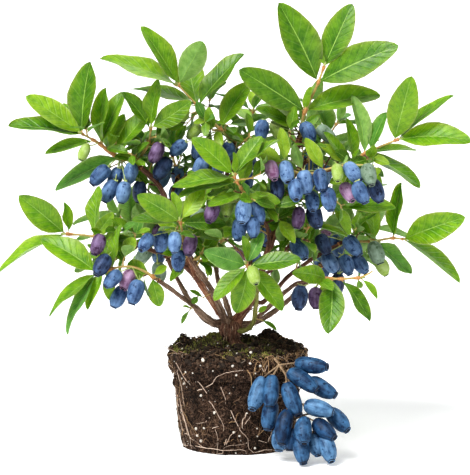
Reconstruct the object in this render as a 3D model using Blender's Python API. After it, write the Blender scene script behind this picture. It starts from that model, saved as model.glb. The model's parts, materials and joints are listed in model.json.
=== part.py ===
"""Young haskap bush lifted out of its pot, standing on its bare root ball, with a picked
bunch of its berries leaning on the rim.

The root ball keeps the shape of the round nursery pot it grew in. A short trunk swells
into a knot, and slender boughs leave the knot on all sides. Each bough ends at a spray:
young shoots with opposite leaves and hanging berries, fused into one solid.

Lengths are in millimetres until a mesh is made. X runs to the right as seen from the
front, Y away from the viewer and Z up. The origin is the middle of the flat underside.
"""

import math

import bmesh
import bpy
import numpy as np
from mathutils.bvhtree import BVHTree

METRES = 0.001
SHARP_DEGREES = 50.0  # edges that turn by more than this stay sharp
CLEAR = 0.3  # gap kept between pieces that meet
SEED = 20

# The places of limbs and sprays are given as (x, height, depth), read in a front view
# taken from 8 degrees above, where a point that lies nearer also shows lower.
VIEW_SLOPE = 0.14
TOWARD = np.array((0.0, -0.99, 0.14))  # from the plant to the viewer
ACROSS = np.array((1.0, 0.0, 0.0))
UPWARD = np.array((0.0, 0.14, 0.99))  # up, as the viewer sees it
SKY = np.array((0.0, 0.0, 1.0))
LEVEL = np.array((1.0, 1.0, 0.0))  # keeps the level part of a vector

# Root ball: outer radius at each height, from the underside to the rim
BALL_PROFILE = (
    (0.0, 41.8),
    (18.0, 43.6),
    (38.0, 45.6),
    (54.0, 47.3),
    (57.5, 50.4),
    (65.0, 51.4),
    (71.5, 51.2),
)
BALL_SIDES = 32
SOIL_TOP = 76.0  # level of the soil at the trunk's foot
SOIL_RIM = 73.5
BALL_ROUGHNESS, BALL_PHASE = 0.7, 0.6
SOIL_ROUGHNESS = 1.8
SOIL_RINGS = 4
SOIL_CLOSING = 0.9  # below 1 the rings of the soil lie closer together near the rim
FIRST_RING = 0.35  # share of a ring's breadth from the rim to the first ring
SOIL_WAVES = ((0.31, 1.3), (0.27, 0.4))  # radians for each millimetre, and the start, along x and y
CLOD_SPREAD = 0.5
FLAT_MARGIN, FLAT_BLEND = 2.0, 8.0  # flat soil round the trunk, then the blend into the waves
FOOT_MARGIN = 1.5  # how far outside the trunk's foot the last ring of the soil lies
# Clods that stand up from the soil: x, y, radius and height of each
CLODS = ((-41.0, 4.0, 9.0, 6.5), (25.0, 22.0, 13.0, 7.5), (34.0, -14.0, 12.0, 2.5), (-16.0, 26.0, 15.0, 3.0))

# Trunk: from a flat cut on the soil, over the root flare and the neck, to a round knot
FOOT = (-2.6, 0.0)
FLARE_RADIUS, FLARE_HEIGHT = 8.4, 4.2
NECK_RADIUS = 5.2
KNOT = np.array((-4.9, 0.0, 88.3))
KNOT_RADIUS = 8.3
KNOT_LATITUDES = range(-40, 90, 18)  # degrees, the heights of the rings of the knot
TRUNK_SIDES = 12
FLARE_WAIST = 0.78  # radius a third of the way up the flare, as a share of the foot's
FLARE_LOBES, LOBE_DEPTH, LOBE_TURN = 5, 0.10, 0.8
LOBES_LEFT = 0.6  # share of the lobes' depth that is left a third of the way up the flare
NECK_LENGTH = 0.8  # straight length of the neck under the knot

LIMB_SIDES = 5
TWIG_SIDES = 3
TWIG_RADIUS, TWIG_TIP = 1.35, 0.95
NEARLY_ACROSS = 0.8  # how level a tube may start before its rings are counted from above

# Leaf: share of its length that it is wide
LEAF_SHARE = 0.42
WIDEST_AT = 0.44  # share of the length where the solid leaf is widest
LEAF_THICK = 0.028  # depth of the keel, as a share of the length
LEAF_ARCH = 0.18  # how far the tip sinks, as a share of the length
STALK_WIDTH = 1.3
LEAF_HEEL = 0.013  # how far a leaf is sunk back past its root, as a share of the length
LATEST_CUT = 0.8  # farthest that a leaf's first section moves towards the widest place
LONGEST_LEAF = 66.0

# Berry: a barrel hung by its stalk end
BERRY_RADIUS, BERRY_LENGTH = 6.0, 18.0
BERRY_SIDES = 5
BERRY_RINGS = ((0.40, 1.0), (1.0, 0.46))  # share of the length, share of the radius
BERRY_PITCH, BERRY_DROP = 11.5, 13.0
BERRY_STALK = 0.8
STALK_SUNK = 0.3  # share of a berry's length that its stalk reaches into it
BERRY_SIZES = (0.88, 1.08)  # smallest and largest berry, as shares of the full size
BERRY_JITTER = 1.0  # how far berries stray from their rows, in millimetres
BERRY_LEAN = 0.16  # how far they stray from hanging plumb, sideways for each unit down
BERRY_SPREAD = 0.012  # how much they lean outwards for each millimetre from their knot
BERRY_ROOM = 1.08  # how much broader than itself a berry is tested for room
STALK_ROOM = 1.0  # radius of a stalk while it is tested
STALK_FREE = 0.2  # share of the stalk near the shoot that isn't tested


def seen(x, height, depth):
    """Point at a place read from the front: its true height rises as it comes nearer."""
    return np.array((x, depth, height - VIEW_SLOPE * depth))


def unit(vector):
    return vector / np.linalg.norm(vector)


def square_to(vector, axis):
    """The part of a vector that stands square to an axis, at length one."""
    return unit(vector - axis * np.dot(vector, axis))


def smooth_path(points, steps):
    """Curve through the points: a cubic in each span, whose slope at a point is half the
    chord between that point's neighbours."""
    points = np.asarray(points, float)
    ends = np.vstack((2 * points[0] - points[1], points, 2 * points[-1] - points[-2]))
    place = np.linspace(0, len(points) - 1, steps + 1)
    span = np.minimum(place.astype(int), len(points) - 2)
    t = (place - span)[:, None]
    a, b, c, d = (ends[span + k] for k in range(4))
    return 0.5 * (2 * b + (c - a) * t + (2 * a - 5 * b + 4 * c - d) * t**2 + (3 * b - 3 * c + d - a) * t**3)


def path_tangents(path):
    """Unit directions along a path, from the chord between each point's neighbours."""
    steps = np.vstack((path[1] - path[0], path[2:] - path[:-2], path[-1] - path[-2]))
    return steps / np.linalg.norm(steps, axis=1)[:, None]


def point_on(path, share):
    """Point and direction at a share of the way along a path."""
    place = share * (len(path) - 1)
    step = min(int(place), len(path) - 2)
    point = path[step] + (path[step + 1] - path[step]) * (place - step)
    return point, unit(path[step + 1] - path[step])


def tube(path, radii, sides):
    """Closed tube: rings square to the path, carried along it untwisted, flat at both ends."""
    tangents = path_tangents(path)
    turns = np.arange(sides) * 2 * math.pi / sides
    helper = ACROSS if abs(tangents[0][0]) < NEARLY_ACROSS else UPWARD
    side = square_to(helper, tangents[0])
    corners = []
    for point, tangent, radius in zip(path, tangents, radii):
        side = square_to(side, tangent)
        other = np.cross(tangent, side)
        ring = np.outer(np.cos(turns), side) + np.outer(np.sin(turns), other)
        corners.extend(point + radius * ring)
    faces = [tuple(reversed(range(sides)))]
    for ring in range(len(path) - 1):
        start = ring * sides
        for k in range(sides):
            nxt = (k + 1) % sides
            faces.append((start + k, start + nxt, start + sides + nxt, start + sides + k))
    last = (len(path) - 1) * sides
    faces.append(tuple(range(last, last + sides)))
    return np.array(corners), faces


def leaf_solid(root, direction, normal, length, width, swell=1.0, start=0.0):
    """Leaf of three-cornered sections: its stalk's end, the widest place with a keel under the
    midrib, and a pointed tip. The arch lowers it by the square of the way along. With a start
    above 0 the first section lies that far along, on the same surfaces."""
    lateral = np.cross(normal, direction)
    keel = LEAF_THICK * length * swell
    edge = lateral * width / 2 * swell
    half = STALK_WIDTH / 2
    heel = root - direction * length * LEAF_HEEL
    middle = root + direction * length * WIDEST_AT - normal * LEAF_ARCH * length * WIDEST_AT**2
    first = [heel + lateral * half + normal * half / 2]
    first.append(heel - lateral * half + normal * half / 2)
    first.append(heel - normal * half)
    widest = [middle + edge + normal * keel / 2]
    widest.append(middle - edge + normal * keel / 2)
    widest.append(middle - normal * keel / 2)
    cut = min(start / (length * WIDEST_AT), LATEST_CUT)
    corners = [near + (far - near) * cut for near, far in zip(first, widest)]
    corners.extend(widest)
    corners.append(root + direction * length - normal * LEAF_ARCH * length)
    faces = [(2, 1, 0)]
    for a, b in ((0, 1), (1, 2), (2, 0)):
        faces.append((a, b, 3 + a))
        faces.append((b, 3 + b, 3 + a))
    faces.extend(((3, 4, 6), (4, 5, 6), (5, 3, 6)))
    return np.array(corners), faces


def barrel(top, axis, length, radius, sides=BERRY_SIDES, rings=BERRY_RINGS):
    """Berry turned about its axis: a point at the stalk end, a ring for each bulge, and the
    small flat where the flower sat."""
    path = np.array([top + axis * length * share for share, _ in rings])
    corners, faces = tube(path, [radius * breadth for _, breadth in rings], sides)
    point = len(corners)
    cone = [(k, point, (k + 1) % sides) for k in range(sides)]
    return np.vstack((corners, top)), cone + faces[1:]


def berry_stalk(knot, top, axis, length):
    """Thin stalk from inside the shoot to well inside the berry."""
    return tube(np.array((knot, top + axis * length * STALK_SUNK)), (BERRY_STALK, BERRY_STALK), TWIG_SIDES)


class Taken:
    """Room that is already used, as the closed pieces placed so far, each with its owner."""

    def __init__(self):
        self.owners, self.for_others, self.lows, self.highs, self.trees = [], [], [], [], []

    def add(self, owner, solid, only_for_others=False):
        """Adds a piece, which its own owner may cut if it is only kept clear for others."""
        corners, faces = solid
        self.owners.append(owner)
        self.for_others.append(only_for_others)
        self.lows.append(corners.min(axis=0))
        self.highs.append(corners.max(axis=0))
        self.trees.append(BVHTree.FromPolygons([tuple(c) for c in corners], faces))

    def touched(self, solid, owner):
        """Whether a piece cuts another owner's pieces, and whether it cuts its owner's own."""
        corners, faces = solid
        low, high = corners.min(axis=0), corners.max(axis=0)
        near = np.all(np.array(self.lows) <= high, axis=1) & np.all(np.array(self.highs) >= low, axis=1)
        tree = BVHTree.FromPolygons([tuple(c) for c in corners], faces)
        foreign = own = False
        for index in np.flatnonzero(near):
            same = self.owners[index] == owner
            if same and (own or self.for_others[index]):
                continue
            if tree.overlap(self.trees[index]):
                if same:
                    own = True
                else:
                    foreign = True
                    break
        return foreign, own


def new_material(name, colour, roughness):
    material = bpy.data.materials.new(name)
    material.use_nodes = True
    shader = material.node_tree.nodes["Principled BSDF"]
    shader.inputs["Base Color"].default_value = (*colour, 1.0)
    shader.inputs["Roughness"].default_value = roughness
    return material


def new_object(name, solid, material):
    """Object with its place in its mesh, turned from millimetres into metres."""
    corners, faces = solid
    mesh = bpy.data.meshes.new(name)
    mesh.from_pydata([tuple(corner * METRES) for corner in corners], [], faces)
    mesh.materials.append(material)
    mesh.validate()
    return bpy.data.objects.new(name, mesh)


def show(item):
    bpy.context.scene.collection.objects.link(item)
    return item


def keep_main_body(mesh):
    """Drops loose scraps and the walls of sealed hollows, which leaves the largest shell."""
    work = bmesh.new()
    work.from_mesh(mesh)
    left = set(work.verts)
    shells = []
    while left:
        stack = [left.pop()]
        shell = set(stack)
        while stack:
            for edge in stack.pop().link_edges:
                for vert in edge.verts:
                    if vert not in shell:
                        shell.add(vert)
                        stack.append(vert)
        left -= shell
        shells.append(shell)
    main = max(shells, key=len)
    for shell in shells:
        if shell is not main:
            bmesh.ops.delete(work, geom=list(shell), context="VERTS")
    work.to_mesh(mesh)
    work.free()


def fuse(name, pieces, material):
    """One closed body from closed pieces that run into each other, by one union."""
    body = show(new_object(name, pieces[0], material))
    group = bpy.data.collections.new(name + "_pieces")
    bpy.context.scene.collection.children.link(group)
    for number, piece in enumerate(pieces[1:]):
        group.objects.link(new_object(f"{name}_piece_{number}", piece, material))
    join = body.modifiers.new("join", "BOOLEAN")
    join.operation = "UNION"
    join.operand_type = "COLLECTION"
    join.collection = group
    join.solver = "EXACT"
    bpy.context.view_layer.objects.active = body
    bpy.ops.object.modifier_apply(modifier=join.name)
    for piece in list(group.objects):
        bpy.data.objects.remove(piece)
    bpy.data.collections.remove(group)
    keep_main_body(body.data)
    return body


def shade_round(item):
    item.data.shade_smooth()
    item.data.set_sharp_from_angle(angle=math.radians(SHARP_DEGREES))


def uneven(turns, heights, phase):
    """Smooth unevenness between -1 and 1 round a turned surface: three crossed waves."""
    waves = np.sin(3 * turns + 0.11 * heights + phase)
    waves = waves + np.sin(7 * turns - 0.17 * heights + 2.1 * phase)
    waves = waves + np.sin(13 * turns + 0.31 * heights + 0.7 * phase)
    return waves / 3


def soil_height(x, y):
    """Height of the soil: a low mound with waves and clods, flat round the trunk's foot."""
    radius = np.hypot(x, y)
    mound = SOIL_RIM + (SOIL_TOP - SOIL_RIM) * (1 - (radius / BALL_PROFILE[-1][1]) ** 2)
    (pace_x, start_x), (pace_y, start_y) = SOIL_WAVES
    height = mound + SOIL_ROUGHNESS * np.sin(pace_x * x + start_x) * np.sin(pace_y * y + start_y)
    for clod_x, clod_y, clod_radius, rise in CLODS:
        distance = (x - clod_x) ** 2 + (y - clod_y) ** 2
        height = height + rise * np.exp(-distance / (CLOD_SPREAD * clod_radius**2))
    away = np.hypot(x - FOOT[0], y - FOOT[1])
    blend = np.clip((away - FLARE_RADIUS - FLAT_MARGIN) / FLAT_BLEND, 0.0, 1.0)
    return SOIL_TOP * (1 - blend) + height * blend


def root_ball_solid():
    """Turned pot shape with an uneven wall, a flat underside and a soil surface on top.

    The soil's rings close round the trunk's foot, so that the flat place there is whole."""
    turns = np.arange(BALL_SIDES) * 2 * math.pi / BALL_SIDES
    rings = []
    for height, radius in BALL_PROFILE:
        wall = radius + BALL_ROUGHNESS * uneven(turns, height, BALL_PHASE)
        level = np.full(BALL_SIDES, height)
        rings.append(np.column_stack((wall * np.cos(turns), wall * np.sin(turns), level)))
    rim = rings[-1][:, :2]
    foot = np.array(FOOT)
    for ring in range(SOIL_RINGS):
        share = (1 - (ring + FIRST_RING) / (SOIL_RINGS + FIRST_RING)) ** SOIL_CLOSING
        flat = foot + (rim - foot) * share
        if ring == SOIL_RINGS - 1:
            outward = rim - foot
            outward = outward / np.linalg.norm(outward, axis=1)[:, None]
            flat = foot + outward * (FLARE_RADIUS + FOOT_MARGIN)
        rings.append(np.column_stack((flat, soil_height(flat[:, 0], flat[:, 1]))))
    corners = np.vstack(rings)
    faces = [tuple(reversed(range(BALL_SIDES)))]
    for ring in range(len(rings) - 1):
        start = ring * BALL_SIDES
        for k in range(BALL_SIDES):
            nxt = (k + 1) % BALL_SIDES
            faces.append((start + k, start + nxt, start + BALL_SIDES + nxt, start + BALL_SIDES + k))
    last = (len(rings) - 1) * BALL_SIDES
    faces.append(tuple(range(last, last + BALL_SIDES)))
    return corners, faces


def trunk_solid():
    """Turned trunk that leans from its foot to the knot, with lobes in the root flare."""
    foot_height = SOIL_TOP + CLEAR
    neck_height = KNOT[2] - math.sqrt(KNOT_RADIUS**2 - NECK_RADIUS**2)
    rings = [(foot_height, FLARE_RADIUS, 1.0)]
    rings.append((foot_height + FLARE_HEIGHT / 3, FLARE_RADIUS * FLARE_WAIST, LOBES_LEFT))
    rings.append((neck_height - NECK_LENGTH, NECK_RADIUS, 0.0))
    for latitude in KNOT_LATITUDES:
        lift = math.radians(latitude)
        rings.append((KNOT[2] + KNOT_RADIUS * math.sin(lift), KNOT_RADIUS * math.cos(lift), 0.0))
    turns = np.arange(TRUNK_SIDES) * 2 * math.pi / TRUNK_SIDES
    corners = []
    for height, radius, lobes in rings:
        lean = np.clip((height - foot_height) / (neck_height - foot_height), 0.0, 1.0)
        middle_x = FOOT[0] + (KNOT[0] - FOOT[0]) * lean
        reach = radius * (1 + LOBE_DEPTH * lobes * np.cos(FLARE_LOBES * turns + LOBE_TURN))
        level = np.full(TRUNK_SIDES, height)
        corners.extend(np.column_stack((middle_x + reach * np.cos(turns), reach * np.sin(turns), level)))
    corners.append(KNOT + np.array((0.0, 0.0, KNOT_RADIUS)))
    top = len(corners) - 1
    faces = [tuple(reversed(range(TRUNK_SIDES)))]
    for ring in range(len(rings) - 1):
        start = ring * TRUNK_SIDES
        for k in range(TRUNK_SIDES):
            nxt = (k + 1) % TRUNK_SIDES
            faces.append((start + k, start + nxt, start + TRUNK_SIDES + nxt, start + TRUNK_SIDES + k))
    last = (len(rings) - 1) * TRUNK_SIDES
    for k in range(TRUNK_SIDES):
        faces.append((last + k, last + (k + 1) % TRUNK_SIDES, top))
    return np.array(corners), faces


def view_direction(angle, tilt):
    """Direction that looks turned by an angle from the right, and tilts away from the viewer."""
    angle, tilt = math.radians(angle), math.radians(tilt)
    flat = ACROSS * math.cos(angle) + UPWARD * math.sin(angle)
    return flat * math.cos(tilt) - TOWARD * math.sin(tilt)


# Boughs. Those on the knot leave it at (angle, tilt); the others leave the side of another
# bough at a share of its length. Then come the radii at both ends and the points passed.
BOUGHS = {
    "bough_low_left": {
        "leaves_knot": (151, -10), "radii": (2.0, 1.4),
        "by": ((-18.8, 94.4, -7), (-30.4, 104.2, -13), (-51.4, 120.1, -22), (-58.9, 125.4, -25)),
    },
    "bough_high_left": {
        "leaves_knot": (125, 15), "radii": (2.9, 1.7),
        "by": ((-20.6, 111, 9), (-35.6, 135.7, 17), (-49, 170, 25), (-57, 194, 30), (-73.1, 211, 32)),
    },
    "bough_front_left": {
        "leaves_knot": (121, -25), "radii": (2.6, 1.6),
        "by": ((-14.6, 108, -11), (-21.4, 121.6, -21), (-33.4, 139.8, -38), (-38.6, 152.7, -48)),
    },
    "bough_top_left": {
        "leaves_knot": (95, 40), "radii": (2.0, 1.4),
        "by": ((-9.5, 111, 17), (-17.6, 136.8, 30), (-17, 170, 38), (-8, 206, 40), (-2.6, 229, 38)),
    },
    "leader": {
        "leaves_knot": (56, -5), "radii": (3.3, 2.0),
        "by": (
            (7.9, 105.8, -1), (13.9, 118.6, 1), (25.9, 156.5, 6),
            (32.6, 177.7, 8), (43.1, 220, 10), (46.1, 232, 10),
        ),
    },
    "bough_front": {
        "leaves_knot": (-10, -35), "radii": (1.8, 1.3),
        "by": ((10.9, 91.4, -15), (13.1, 102.7, -23), (14.5, 114, -33), (12, 127, -46)),
    },
    "bough_low_right": {
        "leaves_knot": (20, 5), "radii": (2.1, 1.4),
        "by": ((12.4, 93.5, 1), (20.6, 102.7, -2), (34.9, 115.2, -10), (43.1, 122.5, -16), (58, 125.5, -24)),
    },
    "bough_back_left": {
        "leaves_knot": (165, 38), "radii": (2.3, 1.5),
        "by": ((-26, 96, 26), (-42, 118, 52), (-54, 142, 70)),
    },
    "bough_back": {
        "leaves_knot": (50, 62), "radii": (2.2, 1.5),
        "by": ((4, 98, 26), (9, 118, 52), (10, 142, 74)),
    },
    "bough_back_right": {
        "leaves_knot": (12, 38), "radii": (2.3, 1.5),
        "by": ((20, 96, 22), (44, 114, 44), (64, 136, 60)),
    },
    "bough_right": {
        "on": ("leader", 0.27), "radii": (1.7, 1.3),
        "by": ((24, 112, 9), (37.9, 127.7, 16), (60.4, 143.6, 21), (77, 152.7, 22)),
    },
    "bough_left": {
        "on": ("bough_high_left", 0.44), "radii": (1.8, 1.4),
        "by": ((-48, 143, 18), (-65.6, 148.2, 14), (-79.1, 154.2, 10), (-92, 155.5, 8)),
    },
    "bough_front_middle": {
        "on": ("leader", 0.56), "radii": (1.6, 1.2),
        "by": ((22, 166, -10), (14, 176, -30), (8.5, 182.5, -42)),
    },
    "bough_upper_right": {
        "on": ("leader", 0.84), "radii": (1.6, 1.3),
        "by": ((52, 206, 6), (64, 208, 2), (77, 210.5, 0)),
    },
    "bough_front_right": {
        "on": ("leader", 0.70), "radii": (1.7, 1.3),
        "by": ((41, 184, -8), (48, 190, -20), (53, 197, -29)),
    },
    "bough_inner_right": {
        "on": ("leader", 0.46), "radii": (1.4, 1.1),
        "by": ((34, 147, -4), (43, 153, -10)),
    },
    "bough_inner_left": {
        "on": ("bough_top_left", 0.5), "radii": (1.4, 1.1),
        "by": ((-25, 167, 22), (-27, 173, 10)),
    },
    "bough_upper_back_left": {
        "on": ("bough_high_left", 0.68), "radii": (1.6, 1.3),
        "by": ((-50, 190, 44), (-46, 204, 60)),
    },
    "bough_upper_back": {
        "on": ("bough_top_left", 0.72), "radii": (1.5, 1.2),
        "by": ((-6, 204, 56), (2, 218, 66)),
    },
    "bough_upper_back_right": {
        "on": ("leader", 0.78), "radii": (1.6, 1.3),
        "by": ((44, 206, 30), (52, 216, 46)),
    },
}
BOUGH_STEPS = 6
SEAT_LENGTH = 2.5  # straight length of a limb next to what carries it


def bough_paths():
    """Centre line and radii of each bough, from its seat on the knot or on another bough."""
    paths = {}
    for name, bough in BOUGHS.items():
        stops = [seen(*place) for place in bough["by"]]
        if "leaves_knot" in bough:
            leaving = view_direction(*bough["leaves_knot"])
            start = KNOT + leaving * (KNOT_RADIUS + CLEAR)
        else:
            carrier, share = bough["on"]
            carrier_path, carrier_radii = paths[carrier]
            point, along = point_on(carrier_path, share)
            leaving = square_to(stops[0] - point, along)
            start = point + leaving * (np.interp(share, (0, 1), carrier_radii[[0, -1]]) + CLEAR)
        path = np.vstack((start, smooth_path([start + leaving * SEAT_LENGTH] + stops, BOUGH_STEPS)))
        paths[name] = (path, np.linspace(*bough["radii"], len(path)))
    return paths


# Sprays, one for each bough. A shoot that names no place to start goes on from the bough's
# tip, the others start at a share of an earlier shoot's length. Each leaf is (share along
# the shoot, angle, length, width) as seen from the front; a width below zero shows the
# underside. A shoot with "pairs" gets its leaves by rule instead. Each berry cluster is
# (share along the shoot, x, height, berries in each row), read from the front too.
SPRAYS = {
    "spray_top": {
        "bough": "leader",
        "shoots": (
            {
                "by": ((47.6, 238, 10), (50, 252, 9), (59, 271.5, 6), (64.8, 287, 5)),
                "leaves": (
                    (0.80, 117, 65, 26), (0.97, 66, 52, 21), (0.80, 24, 64, 25),
                    (1.0, 108, 9, 4), (1.0, 79, 8, 3),
                    (0.51, 148, 57, 23), (0.52, 12, 57, 18), (0.51, 75, 19, 6),
                    (0.28, 156, 37, 12), (0.33, 139, 30, 9), (0.28, 39, 17, 7),
                ),
                "fruit": ((0.2, 27, 237, (2,)), (0.25, 62, 236, (2,))),
            },
        ),
    },
    "spray_upper_left": {
        "bough": "bough_high_left",
        "shoots": (
            {
                "by": ((-77.6, 215.5, 32), (-92, 220, 31), (-105.4, 230, 28), (-117.4, 236.7, 25)),
                "leaves": (
                    (1.0, 174, 55, 13), (1.0, 146, 50, 17), (1.0, 83, 54, 20), (1.0, 123, 28, 8),
                    (0.72, 66, 43, 14), (0.81, 195, 38, 9), (0.70, 85, 43, 12), (0.45, 206, 55, 14),
                    (0.53, 50, 45, 14), (0.64, 69, 19, -12), (0.40, 6, 27, 6), (0.6, 67, 30, 11),
                ),
                "fruit": ((0.45, -89, 199, (3, 3)), (0.75, -113, 222, (1,))),
            },
            {
                "from": (0, 0.24),
                "by": ((-68, 227, 28), (-65.5, 241, 26)),
                "leaves": ((1.0, 80, 37, 12), (1.0, 33, 36, 16), (0.97, 128, 35, 11), (0.64, 144, 17, 6)),
                "fruit": ((0.5, -59, 216, (1, 1)),),
            },
        ),
    },
    "spray_top_left": {
        "bough": "bough_top_left",
        "shoots": (
            {
                "by": ((-13.1, 240.6, 36), (-30, 258.1, 32), (-44.6, 273.7, 28)),
                "leaves": (
                    (1.0, 162, 61, 14), (1.0, 123, 51, 15), (1.0, 59, 36, -19), (1.0, 100, 8, 3),
                    (0.68, 101, 38, 21), (0.68, 48, 52, 14), (0.69, 166, 51, 9),
                    (0.32, 57, 42, 16), (0.31, 331, 20, 7),
                ),
                "fruit": ((0.66, -37, 244, (1, 1)), (0.3, -24, 219, (4, 2))),
            },
        ),
    },
    "spray_upper_right": {
        "bough": "bough_upper_right",
        "shoots": (
            {
                "by": ((85.5, 214.3, -2), (96, 221.3, -6), (113.5, 229, -10), (120, 231.5, -11)),
                "leaves": (
                    (0.87, 76, 48, 22), (0.97, 38, 52, 8), (0.94, 359, 54, 18),
                    (0.47, 4, 38, 4), (0.48, 329, 47, 11), (0.47, 102, 44, -11), (0.54, 67, 31, 10),
                    (0.26, 98, 33, 9), (0.12, 144, 25, 9), (0.12, 127, 30, 8),
                ),
                "fruit": (),
            },
        ),
    },
    "spray_front_right": {
        "bough": "bough_front_right",
        "shoots": (
            {
                "by": ((62, 207, -36), (80, 211, -41), (97, 211, -44)),
                "leaves": ((0.35, 120, 28, 10),),
                "fruit": ((0.3, 58, 193, (2, 2)), (0.75, 88, 198, (3, 3))),
            },
            {
                "from": (0, 0.24),
                "by": ((43, 206, -38), (35, 213, -42)),
                "leaves": ((1.0, 158, 30, 11), (1.0, 98, 26, 9)),
                "fruit": ((0.6, 34, 200, (2, 2)),),
            },
            {
                "from": (0, 0.28),
                "by": ((64, 188, -26), (75, 180, -24)),
                "leaves": (
                    (1.0, 359, 42, 11), (0.8, 300, 26, 9), (0.45, 233, 15, 9),
                    (0.45, 293, 12, 6), (0.5, 322, 16, 7),
                ),
                "fruit": ((0.5, 55, 174, (2,)),),
            },
        ),
    },
    "spray_right": {
        "bough": "bough_right",
        "shoots": (
            {
                "by": ((89, 154.5, 21), (102.4, 155, 18), (116, 157.2, 14), (124.9, 156.5, 11)),
                "leaves": (
                    (1.0, 20, 47, 22), (0.78, 81, 42, 10), (1.0, 322, 53, 11),
                    (0.48, 321, 39, 12), (0.48, 123, 20, 7), (0.52, 99, 33, 11), (0.1, 137, 18, 5),
                ),
                "fruit": ((0.1, 78, 144, (3, 3)), (0.6, 107, 139, (1, 1))),
            },
        ),
    },
    "spray_low_right": {
        "bough": "bough_low_right",
        "shoots": (
            {
                "by": ((66, 127, -27), (73.9, 126.5, -30), (91, 127.5, -30)),
                "leaves": (
                    (0.52, 266, 40, 19), (0.73, 304, 38, 10), (0.46, 244, 16, 7),
                    (1.0, 308, 20, 5), (0.97, 285, 8, 5), (0.34, 170, 26, 14),
                ),
                "fruit": ((0.0, 54, 113, (2,)),),
            },
        ),
    },
    "spray_front_low": {
        "bough": "bough_front",
        "shoots": (
            {
                "by": ((9.5, 133, -53), (6.4, 138, -58)),
                "leaves": (
                    (0.85, 7, 39, 13), (0.83, 308, 41, 14), (0.83, 256, 35, 18),
                    (0.85, 226, 35, 12), (0.89, 162, 33, 16), (0.93, 64, 26, 10), (0.97, 98, 21, 6),
                ),
                "fruit": ((0.9, 15, 129, (1,)),),
            },
        ),
    },
    "spray_front_middle": {
        "bough": "bough_front_middle",
        "shoots": (
            {
                "by": ((5.6, 189, -48), (0.5, 197, -53), (-2.6, 203, -56)),
                "leaves": (
                    (1.0, 138, 41, 16), (1.0, 55, 35, 13), (1.0, 38, 42, 7), (0.94, 189, 46, 11),
                    (1.0, 91, 17, 5), (0.30, 349, 26, 10), (0.38, 201, 28, 9), (0.55, 72, 24, 9),
                    (0.74, 194, 44, 9),
                ),
                "fruit": ((0.2, 2, 171, (4, 2)),),
            },
        ),
    },
    "spray_front_left": {
        "bough": "bough_front_left",
        "shoots": (
            {
                "by": ((-40.5, 161, -54), (-42.1, 169.6, -58)),
                "leaves": (
                    (0.97, 148, 36, 17), (0.96, 178, 35, 9), (1.0, 54, 30, 12),
                    (1.0, 104, 22, 8), (0.92, 359, 33, 13), (1.0, 163, 16, 5),
                ),
                "fruit": ((0.6, -47, 147, (4, 1)),),
            },
        ),
    },
    "spray_left": {
        "bough": "bough_left",
        "shoots": (
            {
                "by": ((-101, 156.5, 6), (-108.3, 158.7, 4), (-128.9, 160.4, 0)),
                "leaves": (
                    (1.0, 140, 44, 20), (0.97, 97, 24, 7), (1.0, 210, 58, 8),
                    (0.6, 85, 38, 11), (0.6, 51, 23, 11), (0.61, 190, 14, -4),
                ),
                "fruit": (),
            },
        ),
    },
    "spray_low_left": {
        "bough": "bough_low_left",
        "shoots": (
            {
                "by": ((-72, 133.5, -27), (-85, 136, -27), (-104, 130.7, -26)),
                "leaves": (
                    (1.0, 149, 50, 18), (1.0, 221, 48, 8), (1.0, 243, 50, 9),
                    (0.91, 246, 31, 9), (0.83, 77, 34, 8), (0.88, 276, 22, 9),
                    (0.08, 153, 21, 12), (0.08, 284, 23, 12), (0.08, 35, 13, 6),
                ),
                "fruit": ((0.9, -101, 145, (1, 1)), (0.5, -85, 121, (2, 2))),
            },
        ),
    },
    "spray_inner_right": {
        "bough": "bough_inner_right",
        "shoots": (
            {"by": ((49, 158, -13), (53, 166, -16)), "pairs": 2, "leaf": 30, "hang": (0.5, 1)},
        ),
    },
    "spray_inner_left": {
        "bough": "bough_inner_left",
        "shoots": (
            {"by": ((-27, 180, 6), (-25, 188, 2)), "pairs": 2, "leaf": 30, "hang": (0.5, 1)},
        ),
    },
    "spray_back_left": {
        "bough": "bough_back_left",
        "shoots": (
            {
                "by": ((-62, 152, 80), (-78, 163, 92), (-92, 174, 100)),
                "pairs": 4, "leaf": 48, "hang": (0.35, 2),
            },
            {
                "from": (0, 0.28), "by": ((-58, 168, 86), (-62, 192, 96)),
                "pairs": 2, "leaf": 46, "hang": (0.5, 1),
            },
        ),
    },
    "spray_back": {
        "bough": "bough_back",
        "shoots": (
            {"by": ((9, 152, 86), (4, 164, 98), (-2, 178, 108)), "pairs": 4, "leaf": 48, "hang": (0.3, 2)},
            {
                "from": (0, 0.3), "by": ((26, 168, 90), (34, 190, 98)),
                "pairs": 2, "leaf": 46, "hang": (0.5, 1),
            },
        ),
    },
    "spray_back_right": {
        "bough": "bough_back_right",
        "shoots": (
            {
                "by": ((72, 144, 68), (88, 154, 80), (100, 166, 88)),
                "pairs": 4, "leaf": 48, "hang": (0.35, 2),
            },
            {
                "from": (0, 0.28), "by": ((72, 164, 76), (76, 186, 84)),
                "pairs": 2, "leaf": 46, "hang": (0.5, 1),
            },
        ),
    },
    "spray_upper_back_left": {
        "bough": "bough_upper_back_left",
        "shoots": (
            {
                "by": ((-48, 214, 70), (-52, 228, 80), (-56, 242, 86)),
                "pairs": 4, "leaf": 44, "hang": (0.3, 2),
            },
        ),
    },
    "spray_upper_back": {
        "bough": "bough_upper_back",
        "shoots": (
            {"by": ((6, 228, 72), (10, 242, 78), (12, 256, 80)), "pairs": 4, "leaf": 44, "hang": (0.3, 2)},
        ),
    },
    "spray_upper_back_right": {
        "bough": "bough_upper_back_right",
        "shoots": (
            {"by": ((58, 224, 54), (68, 234, 64), (76, 246, 70)), "pairs": 4, "leaf": 45, "hang": (0.3, 2)},
            {
                "from": (0, 0.28), "by": ((70, 214, 58), (88, 216, 66)),
                "pairs": 2, "leaf": 40, "hang": (0.5, 1),
            },
        ),
    },
}
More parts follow.
